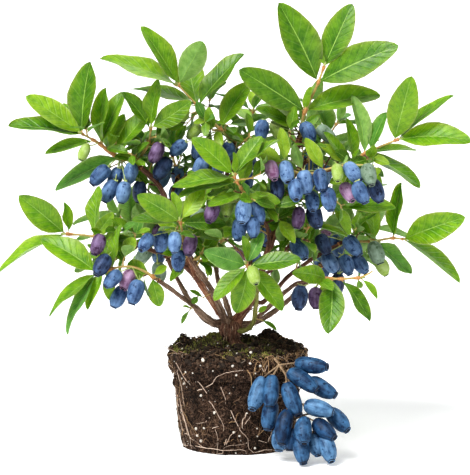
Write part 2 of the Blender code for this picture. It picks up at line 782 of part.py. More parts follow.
SHOOT_STEPS = 4
FIRST_JOINT = 0.06  # nothing grows nearer the bough than this share of a shoot's length
FIRST_PAIR = 0.3  # share of a shoot's length before its first pair of leaves
LEANS_BACK = 0.3  # share of the foreshortened leaves that point away from the viewer
LEAF_SWAY = 6  # degrees
LEAF_START = 6.0  # a leaf is tested for room past this length of it
LEAF_ROOM = 1.25  # how much broader than itself a leaf is tested
DEPTH_TRIES = (0, 9, -9, 18, -18, 27, -27, 36, -36, 46, -46)  # degrees
BERRY_TRIES = (0, -4, 4, -8, 8, -12, 12)  # millimetres nearer or farther
CLUSTER_NEARER = 6  # how much nearer than its shoot a cluster hangs
CLUSTER_BELOW = 15  # how far below its shoot a cluster placed by rule hangs
ROW_STAGGER, ROW_DEPTH = BERRY_PITCH / 4, 4
# Leaves in pairs: how far they open from the shoot, in degrees, the share of the full length
# that each has, and how their pairs turn round the shoot, in radians
PAIR_OPENING, LAST_OPENING = (52, 74), 24
PAIR_LENGTHS, LAST_LENGTH = (0.78, 1.05), 0.42
PAIR_SWAY, PAIR_TWIST = 0.12, 0.15
SKYWARD = 0.8  # how much a paired leaf's face turns to the sky
NEARLY_UPRIGHT = 0.9


def leaf_as_seen(length, width, random):
    """Tilt away from the viewer, turn and true width of a leaf from how it looks from the front.

    One too wide for its length points towards or away from the viewer. One too narrow is
    turned about its own length, so that its upper face looks up."""
    full = max(length, abs(width) / LEAF_SHARE)
    lean = math.degrees(math.acos(length / full)) * (1 if random.random() < LEANS_BACK else -1)
    turn = math.acos(min(1.0, abs(width) / (LEAF_SHARE * full)))
    return lean + random.normal(0, LEAF_SWAY), turn, full * LEAF_SHARE


def leaf_frame(angle, length, tilt, turn, face):
    """Direction, upper normal and true length of a leaf that looks as long as given, turned by
    an angle, tilts away from the viewer, and is turned about its length from facing them."""
    toward_tip = view_direction(angle, tilt)
    facing = square_to(TOWARD, toward_tip)
    side = np.cross(toward_tip, facing)
    if side[2] < 0:
        side = -side
    normal = unit(facing * math.cos(turn) * face + side * math.sin(turn))
    direction = unit(toward_tip + LEAF_ARCH * normal)
    full = min(length / math.cos(math.radians(tilt)), LONGEST_LEAF)
    return direction, square_to(normal, direction), full


def pair_directions(along, roll, opening, length):
    """Two opposite leaves: each opens from the shoot, its upper face towards the tip and the sky."""
    helper = square_to(SKY if abs(along[2]) < NEARLY_UPRIGHT else ACROSS, along)
    other = np.cross(along, helper)
    frames = []
    for turn in (roll, roll + math.pi):
        outward = helper * math.cos(turn) + other * math.sin(turn)
        direction = unit(along * math.cos(opening) + outward * math.sin(opening))
        inner = along * math.sin(opening) - outward * math.cos(opening)
        normal = square_to(inner + SKYWARD * SKY, direction)
        frames.append((direction, normal, length))
    return frames


def place_leaf(taken, owner, root, frames, width):
    """First of several turned leaves that clears the other nodes, and its own spray if it can."""
    chosen = None
    for direction, normal, length in frames:
        test = leaf_solid(root, direction, normal, length, width, LEAF_ROOM, LEAF_START)
        foreign, own = taken.touched(test, owner)
        if not foreign and (chosen is None or not own):
            chosen = (direction, normal, length)
        if chosen is not None and not own:
            break
    if chosen is None:
        return None
    direction, normal, length = chosen
    leaf = leaf_solid(root, direction, normal, length, width)
    taken.add(owner, leaf, only_for_others=True)
    taken.add(owner, leaf_solid(root, direction, normal, length, width, start=LEAF_START))
    return leaf


def cluster_places(x, height, depth, rows):
    """Berry centres of a cluster: staggered rows, each a drop below the one above."""
    places = []
    for row, count in enumerate(rows):
        for k in range(count):
            across = (k - (count - 1) / 2) * BERRY_PITCH
            stagger = ROW_STAGGER * (1 if row % 2 else -1)
            drop = (row - (len(rows) - 1) / 2) * BERRY_DROP
            nearer = ROW_DEPTH if (k + row) % 2 else -ROW_DEPTH
            places.append((x + across + stagger, height - drop, depth + nearer))
    return places


def hang_berries(pieces, taken, owner, knot, places, random):
    """Berries that hang at the given places, each on its own thin stalk from the shoot."""
    for place in places:
        jitter = random.normal(0, BERRY_JITTER, 3)
        lean = random.normal(0, BERRY_LEAN, 3)
        size = random.uniform(*BERRY_SIZES)
        best = None
        for shift in BERRY_TRIES:
            middle = seen(place[0], place[1], place[2] + shift) + jitter
            axis = unit(lean + BERRY_SPREAD * (middle - knot) * LEVEL - SKY)
            length = BERRY_LENGTH * size
            top = middle - axis * length / 2
            room = barrel(top, axis, length, BERRY_RADIUS * size * BERRY_ROOM)
            foreign, own = taken.touched(room, owner)
            stalk = berry_stalk(knot, top, axis, length)
            free_end = knot + (top - knot) * STALK_FREE
            far_half = tube(np.array((free_end, top)), (STALK_ROOM, STALK_ROOM), TWIG_SIDES)
            if foreign or taken.touched(far_half, owner)[0]:
                continue
            if best is None or not own:
                best = (barrel(top, axis, length, BERRY_RADIUS * size), stalk)
                if not own:
                    break
        if best is not None:
            pieces.extend(best)
            taken.add(owner, best[0])
            taken.add(owner, best[1])


def spray_pieces(name, number, spray, paths, taken):
    """All closed pieces of one spray: shoots, berries with stalks, and leaves."""
    random = np.random.default_rng((SEED, number))
    bough_path, _ = paths[spray["bough"]]
    tip, along = bough_path[-1], unit(bough_path[-1] - bough_path[-2])
    shoots, pieces = [], []
    for shoot in spray["shoots"]:
        stops = [seen(*place) for place in shoot["by"]]
        if "from" in shoot:
            earlier, share = shoot["from"]
            path = smooth_path([point_on(shoots[earlier], share)[0]] + stops, SHOOT_STEPS)
        else:
            start = tip + along * CLEAR
            path = np.vstack((start, smooth_path([start + along * SEAT_LENGTH] + stops, SHOOT_STEPS)))
        shoots.append(path if "from" in shoot else path[1:])
        twig = tube(path, np.linspace(TWIG_RADIUS, TWIG_TIP, len(path)), TWIG_SIDES)
        pieces.append(twig)
        taken.add(name, twig)
    for shoot, path in zip(spray["shoots"], shoots):
        if "pairs" in shoot:
            share, count = shoot["hang"]
            knot = point_on(path, share)[0]
            rows = (count, count - 1)
            height = knot[2] + VIEW_SLOPE * knot[1] - CLUSTER_BELOW
            hang_berries(pieces, taken, name, knot, cluster_places(knot[0], height, knot[1], rows), random)
        else:
            for share, x, height, rows in shoot["fruit"]:
                knot = point_on(path, max(share, FIRST_JOINT))[0]
                places = cluster_places(x, height, knot[1] - CLUSTER_NEARER, rows)
                hang_berries(pieces, taken, name, knot, places, random)
    for shoot, path in zip(spray["shoots"], shoots):
        if "pairs" in shoot:
            roll = random.uniform(0, math.pi)
            for pair in range(shoot["pairs"] + 1):
                last = pair == shoot["pairs"]
                share = min(1.0, FIRST_PAIR + (1 - FIRST_PAIR) * pair / (shoot["pairs"] - 1))
                root, direction = point_on(path, share)
                opening = math.radians(LAST_OPENING if last else random.uniform(*PAIR_OPENING))
                for base in range(2):
                    length = shoot["leaf"] * (LAST_LENGTH if last else random.uniform(*PAIR_LENGTHS))
                    sway = random.normal(0, PAIR_SWAY)
                    tries = [
                        pair_directions(direction, roll + sway + math.radians(shift), opening, length)[base]
                        for shift in DEPTH_TRIES
                    ]
                    leaf = place_leaf(taken, name, root, tries, length * LEAF_SHARE)
                    if leaf:
                        pieces.append(leaf)
                roll += math.pi / 2 + random.normal(0, PAIR_TWIST)
        else:
            for share, angle, length, width in shoot["leaves"]:
                root = point_on(path, max(share, FIRST_JOINT))[0]
                tilt, turn, breadth = leaf_as_seen(length, width, random)
                face = math.copysign(1, width)
                tries = [leaf_frame(angle, length, tilt + shift, turn, face) for shift in DEPTH_TRIES]
                leaf = place_leaf(taken, name, root, tries, breadth)
                if leaf:
                    pieces.append(leaf)
    return pieces


# Picked bunch: where each berry's stalk end is (x, height, depth), and the angle, tilt away
# from the viewer and length of the berry, all as seen from the front
BUNCH = (
    (18.6, 52.4, -57, 252, -6, 28),
    (25.7, 53.2, -60, 265, -8, 25),
    (25.8, 34.5, -63, 260, -4, 23),
    (35.5, 47.8, -66, 291, -12, 27),
    (36.7, 56.0, -60, 326, -8, 27),
    (41.7, 61.8, -55, 353, 0, 26),
    (52.5, 49.5, -57, 329, 0, 24),
    (48.6, 31.0, -72, 346, -5, 23),
    (37.3, 28.0, -74, 259, -8, 27),
    (33.0, 16.0, -67, 262, 0, 20),
    (39.5, 14.0, -74, 266, 0, 17),
    (49.0, 22.5, -80, 269, -25, 22),
    (45.5, 10.0, -82, 277, -10, 23),
    (55.5, 20.0, -76, 320, -6, 22),
    (65.0, 28.0, -66, 315, 0, 24),
    (61.5, 9.5, -80, 290, -6, 22.5),
    (55.5, 10.0, -76, 284, 0, 17.5),
)
BUNCH_STEM = ((27.0, 65.0, -50), (33.0, 57.0, -56), (41.0, 42.0, -63), (46.0, 28.0, -68), (51.0, 13.0, -73))
BUNCH_STEM_RADII = (1.5, 1.0)
STALK_FALL = 4.0  # a stalk starts from a place on the stem at least about this far above its berry
BUNCH_RADIUS = 6.5
BUNCH_SIDES = 6
BUNCH_RINGS = ((0.22, 0.88), (0.62, 1.0), (1.0, 0.46))
BUNCH_STEPS = 6
SETTLE_START, SETTLE_STEP = 12.0, 0.1


def bunch_pieces():
    """Stem of the bunch, and each berry with a stalk from the nearest place on the stem above it."""
    stem = smooth_path([seen(*place) for place in BUNCH_STEM], BUNCH_STEPS)
    pieces = [tube(stem, np.linspace(*BUNCH_STEM_RADII, len(stem)), TWIG_SIDES)]
    above = stem - SKY * STALK_FALL
    for x, height, depth, angle, tilt, length in BUNCH:
        top = seen(x, height, depth)
        seat = stem[np.argmin(np.linalg.norm(above - top, axis=1))]
        axis = view_direction(angle, tilt)
        pieces.append(barrel(top, axis, length, BUNCH_RADIUS, BUNCH_SIDES, BUNCH_RINGS))
        pieces.append(berry_stalk(seat, top, axis, length))
    return pieces


def settle(pieces, carrier):
    """Moves the bunch down to the ground, then back in small steps until it would touch the
    root ball, and leaves the gap kept between pieces."""
    lowest = min(corners[:, 2].min() for corners, _ in pieces)
    wall = Taken()
    wall.add("root_ball", carrier)
    shift = np.array((0.0, -SETTLE_START, CLEAR - lowest))
    step = np.array((0.0, SETTLE_STEP, 0.0))
    while not any(wall.touched((corners + shift, faces), "bunch")[0] for corners, faces in pieces):
        shift = shift + step
    shift = shift - (0.0, SETTLE_STEP + CLEAR, 0.0)
    return [(corners + shift, faces) for corners, faces in pieces]


def build():
    for item in list(bpy.data.objects):
        bpy.data.objects.remove(item)
    soil = new_material("soil_dark", (0.045, 0.026, 0.014), 0.95)
    bark = new_material("bark_brown", (0.14, 0.062, 0.032), 0.8)
    leafage = new_material("leaf_green", (0.10, 0.30, 0.035), 0.5)
    fruit = new_material("berry_blue", (0.07, 0.16, 0.42), 0.55)

    ball = root_ball_solid()
    shade_round(show(new_object("root_ball", ball, soil)))
    trunk = trunk_solid()
    shade_round(show(new_object("trunk", trunk, bark)))
    taken = Taken()
    taken.add("root_ball", ball)
    taken.add("trunk", trunk)
    paths = bough_paths()
    for name, (path, radii) in paths.items():
        limb = tube(path, radii, LIMB_SIDES)
        shade_round(show(new_object(name, limb, bark)))
        taken.add(name, limb)
    for number, (name, spray) in enumerate(SPRAYS.items()):
        pieces = spray_pieces(name, number, spray, paths, taken)
        shade_round(fuse(name, pieces, leafage))
    shade_round(fuse("berry_bunch", settle(bunch_pieces(), ball), fruit))


build()
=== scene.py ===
"""Looks of the haskap bush on its root ball: camera, light, soil with roots, bark, leaves
and berries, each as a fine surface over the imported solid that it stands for.

The plant rule below is the one that the solids were grown by, so every leaf and berry
lies where its solid does. Lengths are in millimetres until a mesh is made.
"""

import json
import math

import bmesh
import bpy
import numpy as np
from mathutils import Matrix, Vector
from mathutils.bvhtree import BVHTree

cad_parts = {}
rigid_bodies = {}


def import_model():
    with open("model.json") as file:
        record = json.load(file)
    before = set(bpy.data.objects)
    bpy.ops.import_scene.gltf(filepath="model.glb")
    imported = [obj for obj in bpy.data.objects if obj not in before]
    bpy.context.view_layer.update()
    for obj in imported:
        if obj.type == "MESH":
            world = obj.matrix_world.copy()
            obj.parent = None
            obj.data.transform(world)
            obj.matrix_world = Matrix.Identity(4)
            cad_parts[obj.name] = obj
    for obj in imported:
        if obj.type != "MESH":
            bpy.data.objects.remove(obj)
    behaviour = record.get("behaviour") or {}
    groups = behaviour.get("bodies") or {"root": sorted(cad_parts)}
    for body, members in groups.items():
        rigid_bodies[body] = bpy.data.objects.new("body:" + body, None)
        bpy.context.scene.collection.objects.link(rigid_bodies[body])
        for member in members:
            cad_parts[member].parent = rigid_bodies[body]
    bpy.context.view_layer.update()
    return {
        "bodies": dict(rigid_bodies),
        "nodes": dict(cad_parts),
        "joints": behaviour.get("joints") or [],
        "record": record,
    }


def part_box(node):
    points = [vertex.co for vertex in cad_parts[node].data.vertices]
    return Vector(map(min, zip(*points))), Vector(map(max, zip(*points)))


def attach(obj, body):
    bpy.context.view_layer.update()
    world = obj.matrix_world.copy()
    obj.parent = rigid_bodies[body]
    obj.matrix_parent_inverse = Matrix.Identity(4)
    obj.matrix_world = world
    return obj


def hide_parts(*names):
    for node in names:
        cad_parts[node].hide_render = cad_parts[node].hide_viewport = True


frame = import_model()

METRES = 0.001
SHARP_DEGREES = 50.0  # edges that turn by more than this stay sharp
CLEAR = 0.3  # gap kept between pieces that meet
SEED = 20

# The places of limbs and sprays are given as (x, height, depth), read in a front view
# taken from 8 degrees above, where a point that lies nearer also shows lower.
VIEW_SLOPE = 0.14
TOWARD = np.array((0.0, -0.99, 0.14))  # from the plant to the viewer
ACROSS = np.array((1.0, 0.0, 0.0))
UPWARD = np.array((0.0, 0.14, 0.99))  # up, as the viewer sees it
SKY = np.array((0.0, 0.0, 1.0))
LEVEL = np.array((1.0, 1.0, 0.0))  # keeps the level part of a vector

# Root ball: outer radius at each height, from the underside to the rim
BALL_PROFILE = (
    (0.0, 41.8),
    (18.0, 43.6),
    (38.0, 45.6),
    (54.0, 47.3),
    (57.5, 50.4),
    (65.0, 51.4),
    (71.5, 51.2),
)
BALL_SIDES = 32
SOIL_TOP = 76.0  # level of the soil at the trunk's foot
SOIL_RIM = 73.5
BALL_ROUGHNESS, BALL_PHASE = 0.7, 0.6
SOIL_ROUGHNESS = 1.8
SOIL_RINGS = 4
SOIL_CLOSING = 0.9  # below 1 the rings of the soil lie closer together near the rim
FIRST_RING = 0.35  # share of a ring's breadth from the rim to the first ring
SOIL_WAVES = ((0.31, 1.3), (0.27, 0.4))  # radians for each millimetre, and the start, along x and y
CLOD_SPREAD = 0.5
FLAT_MARGIN, FLAT_BLEND = 2.0, 8.0  # flat soil round the trunk, then the blend into the waves
FOOT_MARGIN = 1.5  # how far outside the trunk's foot the last ring of the soil lies
# Clods that stand up from the soil: x, y, radius and height of each
CLODS = ((-41.0, 4.0, 9.0, 6.5), (25.0, 22.0, 13.0, 7.5), (34.0, -14.0, 12.0, 2.5), (-16.0, 26.0, 15.0, 3.0))

# Trunk: from a flat cut on the soil, over the root flare and the neck, to a round knot
FOOT = (-2.6, 0.0)
FLARE_RADIUS, FLARE_HEIGHT = 8.4, 4.2
NECK_RADIUS = 5.2
KNOT = np.array((-4.9, 0.0, 88.3))
KNOT_RADIUS = 8.3
KNOT_LATITUDES = range(-40, 90, 18)  # degrees, the heights of the rings of the knot
TRUNK_SIDES = 12
FLARE_WAIST = 0.78  # radius a third of the way up the flare, as a share of the foot's
FLARE_LOBES, LOBE_DEPTH, LOBE_TURN = 5, 0.10, 0.8
LOBES_LEFT = 0.6  # share of the lobes' depth that is left a third of the way up the flare
NECK_LENGTH = 0.8  # straight length of the neck under the knot

LIMB_SIDES = 5
TWIG_SIDES = 3
TWIG_RADIUS, TWIG_TIP = 1.35, 0.95
NEARLY_ACROSS = 0.8  # how level a tube may start before its rings are counted from above

# Leaf: share of its length that it is wide
LEAF_SHARE = 0.42
WIDEST_AT = 0.44  # share of the length where the solid leaf is widest
LEAF_THICK = 0.028  # depth of the keel, as a share of the length
LEAF_ARCH = 0.18  # how far the tip sinks, as a share of the length
STALK_WIDTH = 1.3
LEAF_HEEL = 0.013  # how far a leaf is sunk back past its root, as a share of the length
LATEST_CUT = 0.8  # farthest that a leaf's first section moves towards the widest place
LONGEST_LEAF = 66.0

# Berry: a barrel hung by its stalk end
BERRY_RADIUS, BERRY_LENGTH = 6.0, 18.0
BERRY_SIDES = 5
BERRY_RINGS = ((0.40, 1.0), (1.0, 0.46))  # share of the length, share of the radius
BERRY_PITCH, BERRY_DROP = 11.5, 13.0
BERRY_STALK = 0.8
STALK_SUNK = 0.3  # share of a berry's length that its stalk reaches into it
BERRY_SIZES = (0.88, 1.08)  # smallest and largest berry, as shares of the full size
BERRY_JITTER = 1.0  # how far berries stray from their rows, in millimetres
BERRY_LEAN = 0.16  # how far they stray from hanging plumb, sideways for each unit down
BERRY_SPREAD = 0.012  # how much they lean outwards for each millimetre from their knot
BERRY_ROOM = 1.08  # how much broader than itself a berry is tested for room
STALK_ROOM = 1.0  # radius of a stalk while it is tested
STALK_FREE = 0.2  # share of the stalk near the shoot that isn't tested


def seen(x, height, depth):
    """Point at a place read from the front: its true height rises as it comes nearer."""
    return np.array((x, depth, height - VIEW_SLOPE * depth))


def unit(vector):
    return vector / np.linalg.norm(vector)


def square_to(vector, axis):
    """The part of a vector that stands square to an axis, at length one."""
    return unit(vector - axis * np.dot(vector, axis))


def smooth_path(points, steps):
    """Curve through the points: a cubic in each span, whose slope at a point is half the
    chord between that point's neighbours."""
    points = np.asarray(points, float)
    ends = np.vstack((2 * points[0] - points[1], points, 2 * points[-1] - points[-2]))
    place = np.linspace(0, len(points) - 1, steps + 1)
    span = np.minimum(place.astype(int), len(points) - 2)
    t = (place - span)[:, None]
    a, b, c, d = (ends[span + k] for k in range(4))
    return 0.5 * (2 * b + (c - a) * t + (2 * a - 5 * b + 4 * c - d) * t**2 + (3 * b - 3 * c + d - a) * t**3)


def path_tangents(path):
    """Unit directions along a path, from the chord between each point's neighbours."""
    steps = np.vstack((path[1] - path[0], path[2:] - path[:-2], path[-1] - path[-2]))
    return steps / np.linalg.norm(steps, axis=1)[:, None]


def point_on(path, share):
    """Point and direction at a share of the way along a path."""
    place = share * (len(path) - 1)
    step = min(int(place), len(path) - 2)
    point = path[step] + (path[step + 1] - path[step]) * (place - step)
    return point, unit(path[step + 1] - path[step])


def tube(path, radii, sides):
    """Closed tube: rings square to the path, carried along it untwisted, flat at both ends."""
    tangents = path_tangents(path)
    turns = np.arange(sides) * 2 * math.pi / sides
    helper = ACROSS if abs(tangents[0][0]) < NEARLY_ACROSS else UPWARD
    side = square_to(helper, tangents[0])
    corners = []
    for point, tangent, radius in zip(path, tangents, radii):
        side = square_to(side, tangent)
        other = np.cross(tangent, side)
        ring = np.outer(np.cos(turns), side) + np.outer(np.sin(turns), other)
        corners.extend(point + radius * ring)
    faces = [tuple(reversed(range(sides)))]
    for ring in range(len(path) - 1):
        start = ring * sides
        for k in range(sides):
            nxt = (k + 1) % sides
            faces.append((start + k, start + nxt, start + sides + nxt, start + sides + k))
    last = (len(path) - 1) * sides
    faces.append(tuple(range(last, last + sides)))
    return np.array(corners), faces


def leaf_solid(root, direction, normal, length, width, swell=1.0, start=0.0):
    """Leaf of three-cornered sections: its stalk's end, the widest place with a keel under the
    midrib, and a pointed tip. The arch lowers it by the square of the way along. With a start
    above 0 the first section lies that far along, on the same surfaces."""
    lateral = np.cross(normal, direction)
    keel = LEAF_THICK * length * swell
    edge = lateral * width / 2 * swell
    half = STALK_WIDTH / 2
    heel = root - direction * length * LEAF_HEEL
    middle = root + direction * length * WIDEST_AT - normal * LEAF_ARCH * length * WIDEST_AT**2
    first = [heel + lateral * half + normal * half / 2]
    first.append(heel - lateral * half + normal * half / 2)
    first.append(heel - normal * half)
    widest = [middle + edge + normal * keel / 2]
    widest.append(middle - edge + normal * keel / 2)
    widest.append(middle - normal * keel / 2)
    cut = min(start / (length * WIDEST_AT), LATEST_CUT)
    corners = [near + (far - near) * cut for near, far in zip(first, widest)]
    corners.extend(widest)
    corners.append(root + direction * length - normal * LEAF_ARCH * length)
    faces = [(2, 1, 0)]
    for a, b in ((0, 1), (1, 2), (2, 0)):
        faces.append((a, b, 3 + a))
        faces.append((b, 3 + b, 3 + a))
    faces.extend(((3, 4, 6), (4, 5, 6), (5, 3, 6)))
    return np.array(corners), faces


def barrel(top, axis, length, radius, sides=BERRY_SIDES, rings=BERRY_RINGS):
    """Berry turned about its axis: a point at the stalk end, a ring for each bulge, and the
    small flat where the flower sat."""
    path = np.array([top + axis * length * share for share, _ in rings])
    corners, faces = tube(path, [radius * breadth for _, breadth in rings], sides)
    point = len(corners)
    cone = [(k, point, (k + 1) % sides) for k in range(sides)]
    return np.vstack((corners, top)), cone + faces[1:]


def berry_stalk(knot, top, axis, length):
    """Thin stalk from inside the shoot to well inside the berry."""
    return tube(np.array((knot, top + axis * length * STALK_SUNK)), (BERRY_STALK, BERRY_STALK), TWIG_SIDES)


class Taken:
    """Room that is already used, as the closed pieces placed so far, each with its owner."""

    def __init__(self):
        self.owners, self.for_others, self.lows, self.highs, self.trees = [], [], [], [], []

    def add(self, owner, solid, only_for_others=False):
        """Adds a piece, which its own owner may cut if it is only kept clear for others."""
        corners, faces = solid
        self.owners.append(owner)
        self.for_others.append(only_for_others)
        self.lows.append(corners.min(axis=0))
        self.highs.append(corners.max(axis=0))
        self.trees.append(BVHTree.FromPolygons([tuple(c) for c in corners], faces))

    def touched(self, solid, owner):
        """Whether a piece cuts another owner's pieces, and whether it cuts its owner's own."""
        corners, faces = solid
        low, high = corners.min(axis=0), corners.max(axis=0)
        near = np.all(np.array(self.lows) <= high, axis=1) & np.all(np.array(self.highs) >= low, axis=1)
        tree = BVHTree.FromPolygons([tuple(c) for c in corners], faces)
        foreign = own = False
        for index in np.flatnonzero(near):
            same = self.owners[index] == owner
            if same and (own or self.for_others[index]):
                continue
            if tree.overlap(self.trees[index]):
                if same:
                    own = True
                else:
                    foreign = True
                    break
        return foreign, own


def uneven(turns, heights, phase):
    """Smooth unevenness between -1 and 1 round a turned surface: three crossed waves."""
    waves = np.sin(3 * turns + 0.11 * heights + phase)
    waves = waves + np.sin(7 * turns - 0.17 * heights + 2.1 * phase)
    waves = waves + np.sin(13 * turns + 0.31 * heights + 0.7 * phase)
    return waves / 3


def soil_height(x, y):
    """Height of the soil: a low mound with waves and clods, flat round the trunk's foot."""
    radius = np.hypot(x, y)
    mound = SOIL_RIM + (SOIL_TOP - SOIL_RIM) * (1 - (radius / BALL_PROFILE[-1][1]) ** 2)
    (pace_x, start_x), (pace_y, start_y) = SOIL_WAVES
    height = mound + SOIL_ROUGHNESS * np.sin(pace_x * x + start_x) * np.sin(pace_y * y + start_y)
    for clod_x, clod_y, clod_radius, rise in CLODS:
        distance = (x - clod_x) ** 2 + (y - clod_y) ** 2
        height = height + rise * np.exp(-distance / (CLOD_SPREAD * clod_radius**2))
    away = np.hypot(x - FOOT[0], y - FOOT[1])
    blend = np.clip((away - FLARE_RADIUS - FLAT_MARGIN) / FLAT_BLEND, 0.0, 1.0)
    return SOIL_TOP * (1 - blend) + height * blend


def root_ball_solid():
    """Turned pot shape with an uneven wall, a flat underside and a soil surface on top.

    The soil's rings close round the trunk's foot, so that the flat place there is whole."""
    turns = np.arange(BALL_SIDES) * 2 * math.pi / BALL_SIDES
    rings = []
    for height, radius in BALL_PROFILE:
        wall = radius + BALL_ROUGHNESS * uneven(turns, height, BALL_PHASE)
        level = np.full(BALL_SIDES, height)
        rings.append(np.column_stack((wall * np.cos(turns), wall * np.sin(turns), level)))
    rim = rings[-1][:, :2]
    foot = np.array(FOOT)
    for ring in range(SOIL_RINGS):
        share = (1 - (ring + FIRST_RING) / (SOIL_RINGS + FIRST_RING)) ** SOIL_CLOSING
        flat = foot + (rim - foot) * share
        if ring == SOIL_RINGS - 1:
            outward = rim - foot
            outward = outward / np.linalg.norm(outward, axis=1)[:, None]
            flat = foot + outward * (FLARE_RADIUS + FOOT_MARGIN)
        rings.append(np.column_stack((flat, soil_height(flat[:, 0], flat[:, 1]))))
    corners = np.vstack(rings)
    faces = [tuple(reversed(range(BALL_SIDES)))]
    for ring in range(len(rings) - 1):
        start = ring * BALL_SIDES
        for k in range(BALL_SIDES):
            nxt = (k + 1) % BALL_SIDES
            faces.append((start + k, start + nxt, start + BALL_SIDES + nxt, start + BALL_SIDES + k))
    last = (len(rings) - 1) * BALL_SIDES
    faces.append(tuple(range(last, last + BALL_SIDES)))
    return corners, faces


def trunk_solid():
    """Turned trunk that leans from its foot to the knot, with lobes in the root flare."""
    foot_height = SOIL_TOP + CLEAR
    neck_height = KNOT[2] - math.sqrt(KNOT_RADIUS**2 - NECK_RADIUS**2)
    rings = [(foot_height, FLARE_RADIUS, 1.0)]
    rings.append((foot_height + FLARE_HEIGHT / 3, FLARE_RADIUS * FLARE_WAIST, LOBES_LEFT))
    rings.append((neck_height - NECK_LENGTH, NECK_RADIUS, 0.0))
    for latitude in KNOT_LATITUDES:
        lift = math.radians(latitude)
        rings.append((KNOT[2] + KNOT_RADIUS * math.sin(lift), KNOT_RADIUS * math.cos(lift), 0.0))
    turns = np.arange(TRUNK_SIDES) * 2 * math.pi / TRUNK_SIDES
    corners = []
    for height, radius, lobes in rings:
        lean = np.clip((height - foot_height) / (neck_height - foot_height), 0.0, 1.0)
        middle_x = FOOT[0] + (KNOT[0] - FOOT[0]) * lean
        reach = radius * (1 + LOBE_DEPTH * lobes * np.cos(FLARE_LOBES * turns + LOBE_TURN))
        level = np.full(TRUNK_SIDES, height)
        corners.extend(np.column_stack((middle_x + reach * np.cos(turns), reach * np.sin(turns), level)))
    corners.append(KNOT + np.array((0.0, 0.0, KNOT_RADIUS)))
    top = len(corners) - 1
    faces = [tuple(reversed(range(TRUNK_SIDES)))]
    for ring in range(len(rings) - 1):
        start = ring * TRUNK_SIDES
        for k in range(TRUNK_SIDES):
            nxt = (k + 1) % TRUNK_SIDES
            faces.append((start + k, start + nxt, start + TRUNK_SIDES + nxt, start + TRUNK_SIDES + k))
    last = (len(rings) - 1) * TRUNK_SIDES
    for k in range(TRUNK_SIDES):
        faces.append((last + k, last + (k + 1) % TRUNK_SIDES, top))
    return np.array(corners), faces


def view_direction(angle, tilt):
    """Direction that looks turned by an angle from the right, and tilts away from the viewer."""
    angle, tilt = math.radians(angle), math.radians(tilt)
    flat = ACROSS * math.cos(angle) + UPWARD * math.sin(angle)
    return flat * math.cos(tilt) - TOWARD * math.sin(tilt)


